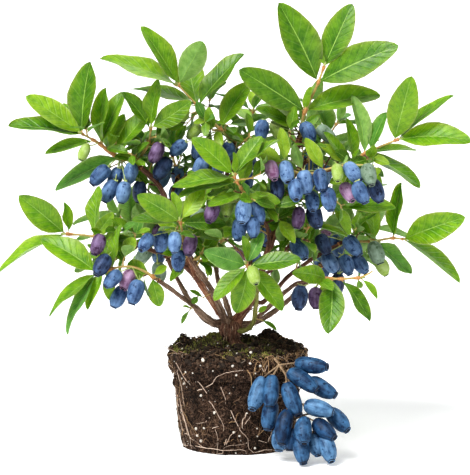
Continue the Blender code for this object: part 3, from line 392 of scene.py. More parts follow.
# Boughs. Those on the knot leave it at (angle, tilt); the others leave the side of another
# bough at a share of its length. Then come the radii at both ends and the points passed.
BOUGHS = {
    "bough_low_left": {
        "leaves_knot": (151, -10), "radii": (2.0, 1.4),
        "by": ((-18.8, 94.4, -7), (-30.4, 104.2, -13), (-51.4, 120.1, -22), (-58.9, 125.4, -25)),
    },
    "bough_high_left": {
        "leaves_knot": (125, 15), "radii": (2.9, 1.7),
        "by": ((-20.6, 111, 9), (-35.6, 135.7, 17), (-49, 170, 25), (-57, 194, 30), (-73.1, 211, 32)),
    },
    "bough_front_left": {
        "leaves_knot": (121, -25), "radii": (2.6, 1.6),
        "by": ((-14.6, 108, -11), (-21.4, 121.6, -21), (-33.4, 139.8, -38), (-38.6, 152.7, -48)),
    },
    "bough_top_left": {
        "leaves_knot": (95, 40), "radii": (2.0, 1.4),
        "by": ((-9.5, 111, 17), (-17.6, 136.8, 30), (-17, 170, 38), (-8, 206, 40), (-2.6, 229, 38)),
    },
    "leader": {
        "leaves_knot": (56, -5), "radii": (3.3, 2.0),
        "by": (
            (7.9, 105.8, -1), (13.9, 118.6, 1), (25.9, 156.5, 6),
            (32.6, 177.7, 8), (43.1, 220, 10), (46.1, 232, 10),
        ),
    },
    "bough_front": {
        "leaves_knot": (-10, -35), "radii": (1.8, 1.3),
        "by": ((10.9, 91.4, -15), (13.1, 102.7, -23), (14.5, 114, -33), (12, 127, -46)),
    },
    "bough_low_right": {
        "leaves_knot": (20, 5), "radii": (2.1, 1.4),
        "by": ((12.4, 93.5, 1), (20.6, 102.7, -2), (34.9, 115.2, -10), (43.1, 122.5, -16), (58, 125.5, -24)),
    },
    "bough_back_left": {
        "leaves_knot": (165, 38), "radii": (2.3, 1.5),
        "by": ((-26, 96, 26), (-42, 118, 52), (-54, 142, 70)),
    },
    "bough_back": {
        "leaves_knot": (50, 62), "radii": (2.2, 1.5),
        "by": ((4, 98, 26), (9, 118, 52), (10, 142, 74)),
    },
    "bough_back_right": {
        "leaves_knot": (12, 38), "radii": (2.3, 1.5),
        "by": ((20, 96, 22), (44, 114, 44), (64, 136, 60)),
    },
    "bough_right": {
        "on": ("leader", 0.27), "radii": (1.7, 1.3),
        "by": ((24, 112, 9), (37.9, 127.7, 16), (60.4, 143.6, 21), (77, 152.7, 22)),
    },
    "bough_left": {
        "on": ("bough_high_left", 0.44), "radii": (1.8, 1.4),
        "by": ((-48, 143, 18), (-65.6, 148.2, 14), (-79.1, 154.2, 10), (-92, 155.5, 8)),
    },
    "bough_front_middle": {
        "on": ("leader", 0.56), "radii": (1.6, 1.2),
        "by": ((22, 166, -10), (14, 176, -30), (8.5, 182.5, -42)),
    },
    "bough_upper_right": {
        "on": ("leader", 0.84), "radii": (1.6, 1.3),
        "by": ((52, 206, 6), (64, 208, 2), (77, 210.5, 0)),
    },
    "bough_front_right": {
        "on": ("leader", 0.70), "radii": (1.7, 1.3),
        "by": ((41, 184, -8), (48, 190, -20), (53, 197, -29)),
    },
    "bough_inner_right": {
        "on": ("leader", 0.46), "radii": (1.4, 1.1),
        "by": ((34, 147, -4), (43, 153, -10)),
    },
    "bough_inner_left": {
        "on": ("bough_top_left", 0.5), "radii": (1.4, 1.1),
        "by": ((-25, 167, 22), (-27, 173, 10)),
    },
    "bough_upper_back_left": {
        "on": ("bough_high_left", 0.68), "radii": (1.6, 1.3),
        "by": ((-50, 190, 44), (-46, 204, 60)),
    },
    "bough_upper_back": {
        "on": ("bough_top_left", 0.72), "radii": (1.5, 1.2),
        "by": ((-6, 204, 56), (2, 218, 66)),
    },
    "bough_upper_back_right": {
        "on": ("leader", 0.78), "radii": (1.6, 1.3),
        "by": ((44, 206, 30), (52, 216, 46)),
    },
}
BOUGH_STEPS = 6
SEAT_LENGTH = 2.5  # straight length of a limb next to what carries it


def bough_paths():
    """Centre line and radii of each bough, from its seat on the knot or on another bough."""
    paths = {}
    for name, bough in BOUGHS.items():
        stops = [seen(*place) for place in bough["by"]]
        if "leaves_knot" in bough:
            leaving = view_direction(*bough["leaves_knot"])
            start = KNOT + leaving * (KNOT_RADIUS + CLEAR)
        else:
            carrier, share = bough["on"]
            carrier_path, carrier_radii = paths[carrier]
            point, along = point_on(carrier_path, share)
            leaving = square_to(stops[0] - point, along)
            start = point + leaving * (np.interp(share, (0, 1), carrier_radii[[0, -1]]) + CLEAR)
        path = np.vstack((start, smooth_path([start + leaving * SEAT_LENGTH] + stops, BOUGH_STEPS)))
        paths[name] = (path, np.linspace(*bough["radii"], len(path)))
    return paths


# Sprays, one for each bough. A shoot that names no place to start goes on from the bough's
# tip, the others start at a share of an earlier shoot's length. Each leaf is (share along
# the shoot, angle, length, width) as seen from the front; a width below zero shows the
# underside. A shoot with "pairs" gets its leaves by rule instead. Each berry cluster is
# (share along the shoot, x, height, berries in each row), read from the front too.
SPRAYS = {
    "spray_top": {
        "bough": "leader",
        "shoots": (
            {
                "by": ((47.6, 238, 10), (50, 252, 9), (59, 271.5, 6), (64.8, 287, 5)),
                "leaves": (
                    (0.80, 117, 65, 26), (0.97, 66, 52, 21), (0.80, 24, 64, 25),
                    (1.0, 108, 9, 4), (1.0, 79, 8, 3),
                    (0.51, 148, 57, 23), (0.52, 12, 57, 18), (0.51, 75, 19, 6),
                    (0.28, 156, 37, 12), (0.33, 139, 30, 9), (0.28, 39, 17, 7),
                ),
                "fruit": ((0.2, 27, 237, (2,)), (0.25, 62, 236, (2,))),
            },
        ),
    },
    "spray_upper_left": {
        "bough": "bough_high_left",
        "shoots": (
            {
                "by": ((-77.6, 215.5, 32), (-92, 220, 31), (-105.4, 230, 28), (-117.4, 236.7, 25)),
                "leaves": (
                    (1.0, 174, 55, 13), (1.0, 146, 50, 17), (1.0, 83, 54, 20), (1.0, 123, 28, 8),
                    (0.72, 66, 43, 14), (0.81, 195, 38, 9), (0.70, 85, 43, 12), (0.45, 206, 55, 14),
                    (0.53, 50, 45, 14), (0.64, 69, 19, -12), (0.40, 6, 27, 6), (0.6, 67, 30, 11),
                ),
                "fruit": ((0.45, -89, 199, (3, 3)), (0.75, -113, 222, (1,))),
            },
            {
                "from": (0, 0.24),
                "by": ((-68, 227, 28), (-65.5, 241, 26)),
                "leaves": ((1.0, 80, 37, 12), (1.0, 33, 36, 16), (0.97, 128, 35, 11), (0.64, 144, 17, 6)),
                "fruit": ((0.5, -59, 216, (1, 1)),),
            },
        ),
    },
    "spray_top_left": {
        "bough": "bough_top_left",
        "shoots": (
            {
                "by": ((-13.1, 240.6, 36), (-30, 258.1, 32), (-44.6, 273.7, 28)),
                "leaves": (
                    (1.0, 162, 61, 14), (1.0, 123, 51, 15), (1.0, 59, 36, -19), (1.0, 100, 8, 3),
                    (0.68, 101, 38, 21), (0.68, 48, 52, 14), (0.69, 166, 51, 9),
                    (0.32, 57, 42, 16), (0.31, 331, 20, 7),
                ),
                "fruit": ((0.66, -37, 244, (1, 1)), (0.3, -24, 219, (4, 2))),
            },
        ),
    },
    "spray_upper_right": {
        "bough": "bough_upper_right",
        "shoots": (
            {
                "by": ((85.5, 214.3, -2), (96, 221.3, -6), (113.5, 229, -10), (120, 231.5, -11)),
                "leaves": (
                    (0.87, 76, 48, 22), (0.97, 38, 52, 8), (0.94, 359, 54, 18),
                    (0.47, 4, 38, 4), (0.48, 329, 47, 11), (0.47, 102, 44, -11), (0.54, 67, 31, 10),
                    (0.26, 98, 33, 9), (0.12, 144, 25, 9), (0.12, 127, 30, 8),
                ),
                "fruit": (),
            },
        ),
    },
    "spray_front_right": {
        "bough": "bough_front_right",
        "shoots": (
            {
                "by": ((62, 207, -36), (80, 211, -41), (97, 211, -44)),
                "leaves": ((0.35, 120, 28, 10),),
                "fruit": ((0.3, 58, 193, (2, 2)), (0.75, 88, 198, (3, 3))),
            },
            {
                "from": (0, 0.24),
                "by": ((43, 206, -38), (35, 213, -42)),
                "leaves": ((1.0, 158, 30, 11), (1.0, 98, 26, 9)),
                "fruit": ((0.6, 34, 200, (2, 2)),),
            },
            {
                "from": (0, 0.28),
                "by": ((64, 188, -26), (75, 180, -24)),
                "leaves": (
                    (1.0, 359, 42, 11), (0.8, 300, 26, 9), (0.45, 233, 15, 9),
                    (0.45, 293, 12, 6), (0.5, 322, 16, 7),
                ),
                "fruit": ((0.5, 55, 174, (2,)),),
            },
        ),
    },
    "spray_right": {
        "bough": "bough_right",
        "shoots": (
            {
                "by": ((89, 154.5, 21), (102.4, 155, 18), (116, 157.2, 14), (124.9, 156.5, 11)),
                "leaves": (
                    (1.0, 20, 47, 22), (0.78, 81, 42, 10), (1.0, 322, 53, 11),
                    (0.48, 321, 39, 12), (0.48, 123, 20, 7), (0.52, 99, 33, 11), (0.1, 137, 18, 5),
                ),
                "fruit": ((0.1, 78, 144, (3, 3)), (0.6, 107, 139, (1, 1))),
            },
        ),
    },
    "spray_low_right": {
        "bough": "bough_low_right",
        "shoots": (
            {
                "by": ((66, 127, -27), (73.9, 126.5, -30), (91, 127.5, -30)),
                "leaves": (
                    (0.52, 266, 40, 19), (0.73, 304, 38, 10), (0.46, 244, 16, 7),
                    (1.0, 308, 20, 5), (0.97, 285, 8, 5), (0.34, 170, 26, 14),
                ),
                "fruit": ((0.0, 54, 113, (2,)),),
            },
        ),
    },
    "spray_front_low": {
        "bough": "bough_front",
        "shoots": (
            {
                "by": ((9.5, 133, -53), (6.4, 138, -58)),
                "leaves": (
                    (0.85, 7, 39, 13), (0.83, 308, 41, 14), (0.83, 256, 35, 18),
                    (0.85, 226, 35, 12), (0.89, 162, 33, 16), (0.93, 64, 26, 10), (0.97, 98, 21, 6),
                ),
                "fruit": ((0.9, 15, 129, (1,)),),
            },
        ),
    },
    "spray_front_middle": {
        "bough": "bough_front_middle",
        "shoots": (
            {
                "by": ((5.6, 189, -48), (0.5, 197, -53), (-2.6, 203, -56)),
                "leaves": (
                    (1.0, 138, 41, 16), (1.0, 55, 35, 13), (1.0, 38, 42, 7), (0.94, 189, 46, 11),
                    (1.0, 91, 17, 5), (0.30, 349, 26, 10), (0.38, 201, 28, 9), (0.55, 72, 24, 9),
                    (0.74, 194, 44, 9),
                ),
                "fruit": ((0.2, 2, 171, (4, 2)),),
            },
        ),
    },
    "spray_front_left": {
        "bough": "bough_front_left",
        "shoots": (
            {
                "by": ((-40.5, 161, -54), (-42.1, 169.6, -58)),
                "leaves": (
                    (0.97, 148, 36, 17), (0.96, 178, 35, 9), (1.0, 54, 30, 12),
                    (1.0, 104, 22, 8), (0.92, 359, 33, 13), (1.0, 163, 16, 5),
                ),
                "fruit": ((0.6, -47, 147, (4, 1)),),
            },
        ),
    },
    "spray_left": {
        "bough": "bough_left",
        "shoots": (
            {
                "by": ((-101, 156.5, 6), (-108.3, 158.7, 4), (-128.9, 160.4, 0)),
                "leaves": (
                    (1.0, 140, 44, 20), (0.97, 97, 24, 7), (1.0, 210, 58, 8),
                    (0.6, 85, 38, 11), (0.6, 51, 23, 11), (0.61, 190, 14, -4),
                ),
                "fruit": (),
            },
        ),
    },
    "spray_low_left": {
        "bough": "bough_low_left",
        "shoots": (
            {
                "by": ((-72, 133.5, -27), (-85, 136, -27), (-104, 130.7, -26)),
                "leaves": (
                    (1.0, 149, 50, 18), (1.0, 221, 48, 8), (1.0, 243, 50, 9),
                    (0.91, 246, 31, 9), (0.83, 77, 34, 8), (0.88, 276, 22, 9),
                    (0.08, 153, 21, 12), (0.08, 284, 23, 12), (0.08, 35, 13, 6),
                ),
                "fruit": ((0.9, -101, 145, (1, 1)), (0.5, -85, 121, (2, 2))),
            },
        ),
    },
    "spray_inner_right": {
        "bough": "bough_inner_right",
        "shoots": (
            {"by": ((49, 158, -13), (53, 166, -16)), "pairs": 2, "leaf": 30, "hang": (0.5, 1)},
        ),
    },
    "spray_inner_left": {
        "bough": "bough_inner_left",
        "shoots": (
            {"by": ((-27, 180, 6), (-25, 188, 2)), "pairs": 2, "leaf": 30, "hang": (0.5, 1)},
        ),
    },
    "spray_back_left": {
        "bough": "bough_back_left",
        "shoots": (
            {
                "by": ((-62, 152, 80), (-78, 163, 92), (-92, 174, 100)),
                "pairs": 4, "leaf": 48, "hang": (0.35, 2),
            },
            {
                "from": (0, 0.28), "by": ((-58, 168, 86), (-62, 192, 96)),
                "pairs": 2, "leaf": 46, "hang": (0.5, 1),
            },
        ),
    },
    "spray_back": {
        "bough": "bough_back",
        "shoots": (
            {"by": ((9, 152, 86), (4, 164, 98), (-2, 178, 108)), "pairs": 4, "leaf": 48, "hang": (0.3, 2)},
            {
                "from": (0, 0.3), "by": ((26, 168, 90), (34, 190, 98)),
                "pairs": 2, "leaf": 46, "hang": (0.5, 1),
            },
        ),
    },
    "spray_back_right": {
        "bough": "bough_back_right",
        "shoots": (
            {
                "by": ((72, 144, 68), (88, 154, 80), (100, 166, 88)),
                "pairs": 4, "leaf": 48, "hang": (0.35, 2),
            },
            {
                "from": (0, 0.28), "by": ((72, 164, 76), (76, 186, 84)),
                "pairs": 2, "leaf": 46, "hang": (0.5, 1),
            },
        ),
    },
    "spray_upper_back_left": {
        "bough": "bough_upper_back_left",
        "shoots": (
            {
                "by": ((-48, 214, 70), (-52, 228, 80), (-56, 242, 86)),
                "pairs": 4, "leaf": 44, "hang": (0.3, 2),
            },
        ),
    },
    "spray_upper_back": {
        "bough": "bough_upper_back",
        "shoots": (
            {"by": ((6, 228, 72), (10, 242, 78), (12, 256, 80)), "pairs": 4, "leaf": 44, "hang": (0.3, 2)},
        ),
    },
    "spray_upper_back_right": {
        "bough": "bough_upper_back_right",
        "shoots": (
            {"by": ((58, 224, 54), (68, 234, 64), (76, 246, 70)), "pairs": 4, "leaf": 45, "hang": (0.3, 2)},
            {
                "from": (0, 0.28), "by": ((70, 214, 58), (88, 216, 66)),
                "pairs": 2, "leaf": 40, "hang": (0.5, 1),
            },
        ),
    },
}
SHOOT_STEPS = 4
FIRST_JOINT = 0.06  # nothing grows nearer the bough than this share of a shoot's length
FIRST_PAIR = 0.3  # share of a shoot's length before its first pair of leaves
LEANS_BACK = 0.3  # share of the foreshortened leaves that point away from the viewer
LEAF_SWAY = 6  # degrees
LEAF_START = 6.0  # a leaf is tested for room past this length of it
LEAF_ROOM = 1.25  # how much broader than itself a leaf is tested
DEPTH_TRIES = (0, 9, -9, 18, -18, 27, -27, 36, -36, 46, -46)  # degrees
BERRY_TRIES = (0, -4, 4, -8, 8, -12, 12)  # millimetres nearer or farther
CLUSTER_NEARER = 6  # how much nearer than its shoot a cluster hangs
CLUSTER_BELOW = 15  # how far below its shoot a cluster placed by rule hangs
ROW_STAGGER, ROW_DEPTH = BERRY_PITCH / 4, 4
# Leaves in pairs: how far they open from the shoot, in degrees, the share of the full length
# that each has, and how their pairs turn round the shoot, in radians
PAIR_OPENING, LAST_OPENING = (52, 74), 24
PAIR_LENGTHS, LAST_LENGTH = (0.78, 1.05), 0.42
PAIR_SWAY, PAIR_TWIST = 0.12, 0.15
SKYWARD = 0.8  # how much a paired leaf's face turns to the sky
NEARLY_UPRIGHT = 0.9


def leaf_as_seen(length, width, random):
    """Tilt away from the viewer, turn and true width of a leaf from how it looks from the front.

    One too wide for its length points towards or away from the viewer. One too narrow is
    turned about its own length, so that its upper face looks up."""
    full = max(length, abs(width) / LEAF_SHARE)
    lean = math.degrees(math.acos(length / full)) * (1 if random.random() < LEANS_BACK else -1)
    turn = math.acos(min(1.0, abs(width) / (LEAF_SHARE * full)))
    return lean + random.normal(0, LEAF_SWAY), turn, full * LEAF_SHARE


def leaf_frame(angle, length, tilt, turn, face):
    """Direction, upper normal and true length of a leaf that looks as long as given, turned by
    an angle, tilts away from the viewer, and is turned about its length from facing them."""
    toward_tip = view_direction(angle, tilt)
    facing = square_to(TOWARD, toward_tip)
    side = np.cross(toward_tip, facing)
    if side[2] < 0:
        side = -side
    normal = unit(facing * math.cos(turn) * face + side * math.sin(turn))
    direction = unit(toward_tip + LEAF_ARCH * normal)
    full = min(length / math.cos(math.radians(tilt)), LONGEST_LEAF)
    return direction, square_to(normal, direction), full


def pair_directions(along, roll, opening, length):
    """Two opposite leaves: each opens from the shoot, its upper face towards the tip and the sky."""
    helper = square_to(SKY if abs(along[2]) < NEARLY_UPRIGHT else ACROSS, along)
    other = np.cross(along, helper)
    frames = []
    for turn in (roll, roll + math.pi):
        outward = helper * math.cos(turn) + other * math.sin(turn)
        direction = unit(along * math.cos(opening) + outward * math.sin(opening))
        inner = along * math.sin(opening) - outward * math.cos(opening)
        normal = square_to(inner + SKYWARD * SKY, direction)
        frames.append((direction, normal, length))
    return frames


def cluster_places(x, height, depth, rows):
    """Berry centres of a cluster: staggered rows, each a drop below the one above."""
    places = []
    for row, count in enumerate(rows):
        for k in range(count):
            across = (k - (count - 1) / 2) * BERRY_PITCH
            stagger = ROW_STAGGER * (1 if row % 2 else -1)
            drop = (row - (len(rows) - 1) / 2) * BERRY_DROP
            nearer = ROW_DEPTH if (k + row) % 2 else -ROW_DEPTH
            places.append((x + across + stagger, height - drop, depth + nearer))
    return places


# Picked bunch: where each berry's stalk end is (x, height, depth), and the angle, tilt away
# from the viewer and length of the berry, all as seen from the front
BUNCH = (
    (18.6, 52.4, -57, 252, -6, 28),
    (25.7, 53.2, -60, 265, -8, 25),
    (25.8, 34.5, -63, 260, -4, 23),
    (35.5, 47.8, -66, 291, -12, 27),
    (36.7, 56.0, -60, 326, -8, 27),
    (41.7, 61.8, -55, 353, 0, 26),
    (52.5, 49.5, -57, 329, 0, 24),
    (48.6, 31.0, -72, 346, -5, 23),
    (37.3, 28.0, -74, 259, -8, 27),
    (33.0, 16.0, -67, 262, 0, 20),
    (39.5, 14.0, -74, 266, 0, 17),
    (49.0, 22.5, -80, 269, -25, 22),
    (45.5, 10.0, -82, 277, -10, 23),
    (55.5, 20.0, -76, 320, -6, 22),
    (65.0, 28.0, -66, 315, 0, 24),
    (61.5, 9.5, -80, 290, -6, 22.5),
    (55.5, 10.0, -76, 284, 0, 17.5),
)
BUNCH_STEM = ((27.0, 65.0, -50), (33.0, 57.0, -56), (41.0, 42.0, -63), (46.0, 28.0, -68), (51.0, 13.0, -73))
BUNCH_STEM_RADII = (1.5, 1.0)
STALK_FALL = 4.0  # a stalk starts from a place on the stem at least about this far above its berry
BUNCH_RADIUS = 6.5
BUNCH_SIDES = 6
BUNCH_RINGS = ((0.22, 0.88), (0.62, 1.0), (1.0, 0.46))
BUNCH_STEPS = 6


def place_leaf(taken, owner, root, frames, width):
    """Direction, normal and length of the first turned leaf that clears the other sprays and
    limbs, and its own spray if it can; none where every turn would touch another."""
    chosen = None
    for direction, normal, length in frames:
        test = leaf_solid(root, direction, normal, length, width, LEAF_ROOM, LEAF_START)
        foreign, own = taken.touched(test, owner)
        if not foreign and (chosen is None or not own):
            chosen = (direction, normal, length)
        if chosen is not None and not own:
            break
    if chosen is not None:
        direction, normal, length = chosen
        taken.add(owner, leaf_solid(root, direction, normal, length, width), only_for_others=True)
        taken.add(owner, leaf_solid(root, direction, normal, length, width, start=LEAF_START))
    return chosen


def hang_berries(berries, taken, owner, knot, places, random):
    """Berries that hang at the given places, each on its own thin stalk from the shoot."""
    for place in places:
        jitter = random.normal(0, BERRY_JITTER, 3)
        lean = random.normal(0, BERRY_LEAN, 3)
        size = random.uniform(*BERRY_SIZES)
        best = None
        for shift in BERRY_TRIES:
            middle = seen(place[0], place[1], place[2] + shift) + jitter
            axis = unit(lean + BERRY_SPREAD * (middle - knot) * LEVEL - SKY)
            length = BERRY_LENGTH * size
            top = middle - axis * length / 2
            room = barrel(top, axis, length, BERRY_RADIUS * size * BERRY_ROOM)
            foreign, own = taken.touched(room, owner)
            free_end = knot + (top - knot) * STALK_FREE
            far_half = tube(np.array((free_end, top)), (STALK_ROOM, STALK_ROOM), TWIG_SIDES)
            if foreign or taken.touched(far_half, owner)[0]:
                continue
            if best is None or not own:
                best = (knot, top, axis, length, BERRY_RADIUS * size)
                if not own:
                    break
        if best is not None:
            berries.append(best)
            taken.add(owner, barrel(*best[1:]))
            taken.add(owner, berry_stalk(*best[:4]))


def grow_spray(name, number, spray, paths, taken):
    """Shoots, berries and leaves of one spray, as places and sizes."""
    random = np.random.default_rng((SEED, number))
    bough_path, _ = paths[spray["bough"]]
    tip, along = bough_path[-1], unit(bough_path[-1] - bough_path[-2])
    shoots, berries, leaves = [], [], []
    for shoot in spray["shoots"]:
        stops = [seen(*place) for place in shoot["by"]]
        if "from" in shoot:
            earlier, share = shoot["from"]
            path = smooth_path([point_on(shoots[earlier], share)[0]] + stops, SHOOT_STEPS)
        else:
            start = tip + along * CLEAR
            path = np.vstack((start, smooth_path([start + along * SEAT_LENGTH] + stops, SHOOT_STEPS)))
        shoots.append(path if "from" in shoot else path[1:])
        taken.add(name, tube(path, np.linspace(TWIG_RADIUS, TWIG_TIP, len(path)), TWIG_SIDES))
    for shoot, path in zip(spray["shoots"], shoots):
        if "pairs" in shoot:
            share, count = shoot["hang"]
            knot = point_on(path, share)[0]
            rows = (count, count - 1)
            height = knot[2] + VIEW_SLOPE * knot[1] - CLUSTER_BELOW
            hang_berries(berries, taken, name, knot, cluster_places(knot[0], height, knot[1], rows), random)
        else:
            for share, x, height, rows in shoot["fruit"]:
                knot = point_on(path, max(share, FIRST_JOINT))[0]
                places = cluster_places(x, height, knot[1] - CLUSTER_NEARER, rows)
                hang_berries(berries, taken, name, knot, places, random)
    for shoot, path in zip(spray["shoots"], shoots):
        if "pairs" in shoot:
            roll = random.uniform(0, math.pi)
            for pair in range(shoot["pairs"] + 1):
                last = pair == shoot["pairs"]
                share = min(1.0, FIRST_PAIR + (1 - FIRST_PAIR) * pair / (shoot["pairs"] - 1))
                root, direction = point_on(path, share)
                opening = math.radians(LAST_OPENING if last else random.uniform(*PAIR_OPENING))
                for base in range(2):
                    length = shoot["leaf"] * (LAST_LENGTH if last else random.uniform(*PAIR_LENGTHS))
                    sway = random.normal(0, PAIR_SWAY)
                    tries = [
                        pair_directions(direction, roll + sway + math.radians(shift), opening, length)[base]
                        for shift in DEPTH_TRIES
                    ]
                    placed = place_leaf(taken, name, root, tries, length * LEAF_SHARE)
                    if placed:
                        leaves.append((root, *placed, length * LEAF_SHARE))
                roll += math.pi / 2 + random.normal(0, PAIR_TWIST)
        else:
            for share, angle, length, width in shoot["leaves"]:
                root = point_on(path, max(share, FIRST_JOINT))[0]
                tilt, turn, breadth = leaf_as_seen(length, width, random)
                face = math.copysign(1, width)
                tries = [leaf_frame(angle, length, tilt + shift, turn, face) for shift in DEPTH_TRIES]
                placed = place_leaf(taken, name, root, tries, breadth)
                if placed:
                    leaves.append((root, *placed, breadth))
    return shoots, berries, leaves


# Fine surfaces


class Heap:
    """Gathers grids of points into one mesh, with a material number for each face."""

    def __init__(self):
        self.points, self.faces, self.tones, self.maps = [], [], [], []
        self.count = 0

    def add(self, grid, tone=0, wrap=False, flip=False, chart=None):
        """Quads between neighbouring rows and columns of a grid shaped (rows, columns, 3).

        Tone is one number, or one for each face of a row. Chart is a pair for each point."""
        rows, columns = grid.shape[:2]
        index = self.count + np.arange(rows * columns).reshape(rows, columns)
        if wrap:
            index = np.column_stack((index, index[:, :1]))
        a, b, c, d = index[:-1, :-1], index[1:, :-1], index[1:, 1:], index[:-1, 1:]
        quads = np.stack((a, d, c, b) if flip else (a, b, c, d), axis=-1)
        tones = np.broadcast_to(np.asarray(tone), quads.shape[:2])
        if chart is None:
            chart = np.zeros((rows, columns, 2))
        self.points.append(grid.reshape(-1, 3))
        self.maps.append(np.asarray(chart, float).reshape(-1, 2))
        self.faces.append(quads.reshape(-1, 4))
        self.tones.append(tones.reshape(-1))
        self.count += rows * columns

    def finish(self, name, materials, node_names, slot, sharp=60.0, chart_name="Chart"):
        """Mesh object in metres: doubles merged, which closes seams and poles, and shaded round."""
        points = np.vstack(self.points) * METRES
        faces = np.vstack(self.faces)
        mesh = bpy.data.meshes.new(name)
        mesh.from_pydata(points, [], faces.tolist())
        mesh.polygons.foreach_set("material_index", np.concatenate(self.tones).astype(np.int32))
        layer = mesh.uv_layers.new(name=chart_name)
        corners = np.empty(len(mesh.loops), dtype=np.int32)
        mesh.loops.foreach_get("vertex_index", corners)
        layer.data.foreach_set("uv", np.vstack(self.maps)[corners].astype(np.float32).ravel())
        work = bmesh.new()
        work.from_mesh(mesh)
        bmesh.ops.remove_doubles(work, verts=work.verts[:], dist=MERGE)
        work.to_mesh(mesh)
        work.free()
        for material in materials:
            mesh.materials.append(material)
        mesh.shade_smooth()
        mesh.set_sharp_from_angle(angle=math.radians(sharp))
        piece = bpy.data.objects.new(name, mesh)
        bpy.context.scene.collection.objects.link(piece)
        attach(piece, "root")
        if node_names:
            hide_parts(*node_names)
        return piece


MERGE = 2e-6  # metres


def lattice_noise(points, cell, seed):
    """Value noise between -1 and 1: a random number at each corner of a cubic lattice, blended
    between corners by 3t^2 - 2t^3 along each axis."""
    scaled = points / cell
    base = np.floor(scaled).astype(np.int64)
    t = scaled - base
    t = t * t * (3 - 2 * t)
    total = np.zeros(points.shape[:-1])
    for corner in range(8):
        offset = np.array(((corner >> 2) & 1, (corner >> 1) & 1, corner & 1))
        place = base + offset
        mixed = place[..., 0] * 374761393 + place[..., 1] * 668265263 + place[..., 2] * 2147483647 + seed * 974711
        mixed = (mixed ^ (mixed >> 13)) * 1274126177
        value = ((mixed ^ (mixed >> 16)) & 0xFFFFFF) / float(0xFFFFFF)
        weight = np.prod(np.where(offset == 1, t, 1 - t), axis=-1)
        total = total + weight * value
    return total * 2 - 1


def crumbly(points, cell, seed, octaves=4):
    """Sum of value noises, each of half the cell and 0.55 of the height of the one before."""
    total, height = 0.0, 1.0
    for octave in range(octaves):
        total = total + height * lattice_noise(points, cell / 2**octave, seed + octave)
        height *= 0.55
    return total


def fine_tube(path, radii, sides, phase=0.0):
    """Rings square to a path: the sideways axis is carried along without twist. Returns the
    grid of points and the outward direction at each."""
    tangents = path_tangents(path)
    helper = ACROSS if abs(tangents[0][0]) < 0.8 else UPWARD
    side = square_to(helper, tangents[0])
    sides_of = []
    for tangent in tangents:
        side = square_to(side, tangent)
        sides_of.append(side)
    along_side = np.array(sides_of)
    across_side = np.cross(tangents, along_side)
    turns = phase + np.arange(sides) * 2 * math.pi / sides
    outward = np.cos(turns)[None, :, None] * along_side[:, None] + np.sin(turns)[None, :, None] * across_side[:, None]
    return path[:, None] + np.asarray(radii)[:, None, None] * outward, outward


def capped(grid):
    """Grid of a tube with both ends drawn together to their middles."""
    first = np.broadcast_to(grid[0].mean(axis=0), grid[:1].shape)
    last = np.broadcast_to(grid[-1].mean(axis=0), grid[-1:].shape)
    return np.concatenate((first, grid, last))


# Materials. Each is a Principled surface with its own colour, roughness and relief.


def start_material(name, roughness, sheen=0.0, subsurface=0.0, specular=0.5):
    material = bpy.data.materials.new(name)
    material.use_nodes = True
    tree = material.node_tree
    shader = tree.nodes["Principled BSDF"]
    shader.inputs["Roughness"].default_value = roughness
    shader.inputs["Specular IOR Level"].default_value = specular
    if sheen:
        shader.inputs["Sheen Weight"].default_value = sheen
        shader.inputs["Sheen Roughness"].default_value = 0.6
    if subsurface:
        shader.inputs["Subsurface Weight"].default_value = subsurface
        shader.inputs["Subsurface Scale"].default_value = 0.002
    return material, tree, shader


def noise(tree, scale, detail=4.0, roughness=0.6, vector=None, distortion=0.0):
    node = tree.nodes.new("ShaderNodeTexNoise")
    node.inputs["Scale"].default_value = scale
    node.inputs["Detail"].default_value = detail
    node.inputs["Roughness"].default_value = roughness
    node.inputs["Distortion"].default_value = distortion
    if vector is None:
        place = tree.nodes.new("ShaderNodeTexCoord")
        vector = place.outputs["Object"]
    tree.links.new(vector, node.inputs["Vector"])
    return node.outputs["Fac"]


def ramp(tree, value, stops):
    node = tree.nodes.new("ShaderNodeValToRGB")
    while len(node.color_ramp.elements) < len(stops):
        node.color_ramp.elements.new(0.5)
    for element, (place, colour) in zip(node.color_ramp.elements, stops):
        element.position = place
        element.color = (*colour, 1.0)
    tree.links.new(value, node.inputs["Fac"])
    return node.outputs["Color"]


def calculate(tree, operation, *values):
    node = tree.nodes.new("ShaderNodeMath")
    node.operation = operation
    for socket, value in zip(node.inputs, values):
        if isinstance(value, (int, float)):
            socket.default_value = value
        else:
            tree.links.new(value, socket)
    return node.outputs["Value"]


def blend_colours(tree, share, first, second):
    node = tree.nodes.new("ShaderNodeMix")
    node.data_type = "RGBA"
    colour_in = [s for s in node.inputs if s.type == "RGBA"]
    tree.links.new(share, node.inputs["Factor"])
    for socket, value in zip(colour_in, (first, second)):
        if isinstance(value, tuple):
            socket.default_value = (*value, 1.0)
        else:
            tree.links.new(value, socket)
    return [s for s in node.outputs if s.type == "RGBA"][0]


def relief(tree, shader, height, strength, distance):
    node = tree.nodes.new("ShaderNodeBump")
    node.inputs["Strength"].default_value = strength
    node.inputs["Distance"].default_value = distance
    tree.links.new(height, node.inputs["Height"])
    tree.links.new(node.outputs["Normal"], shader.inputs["Normal"])


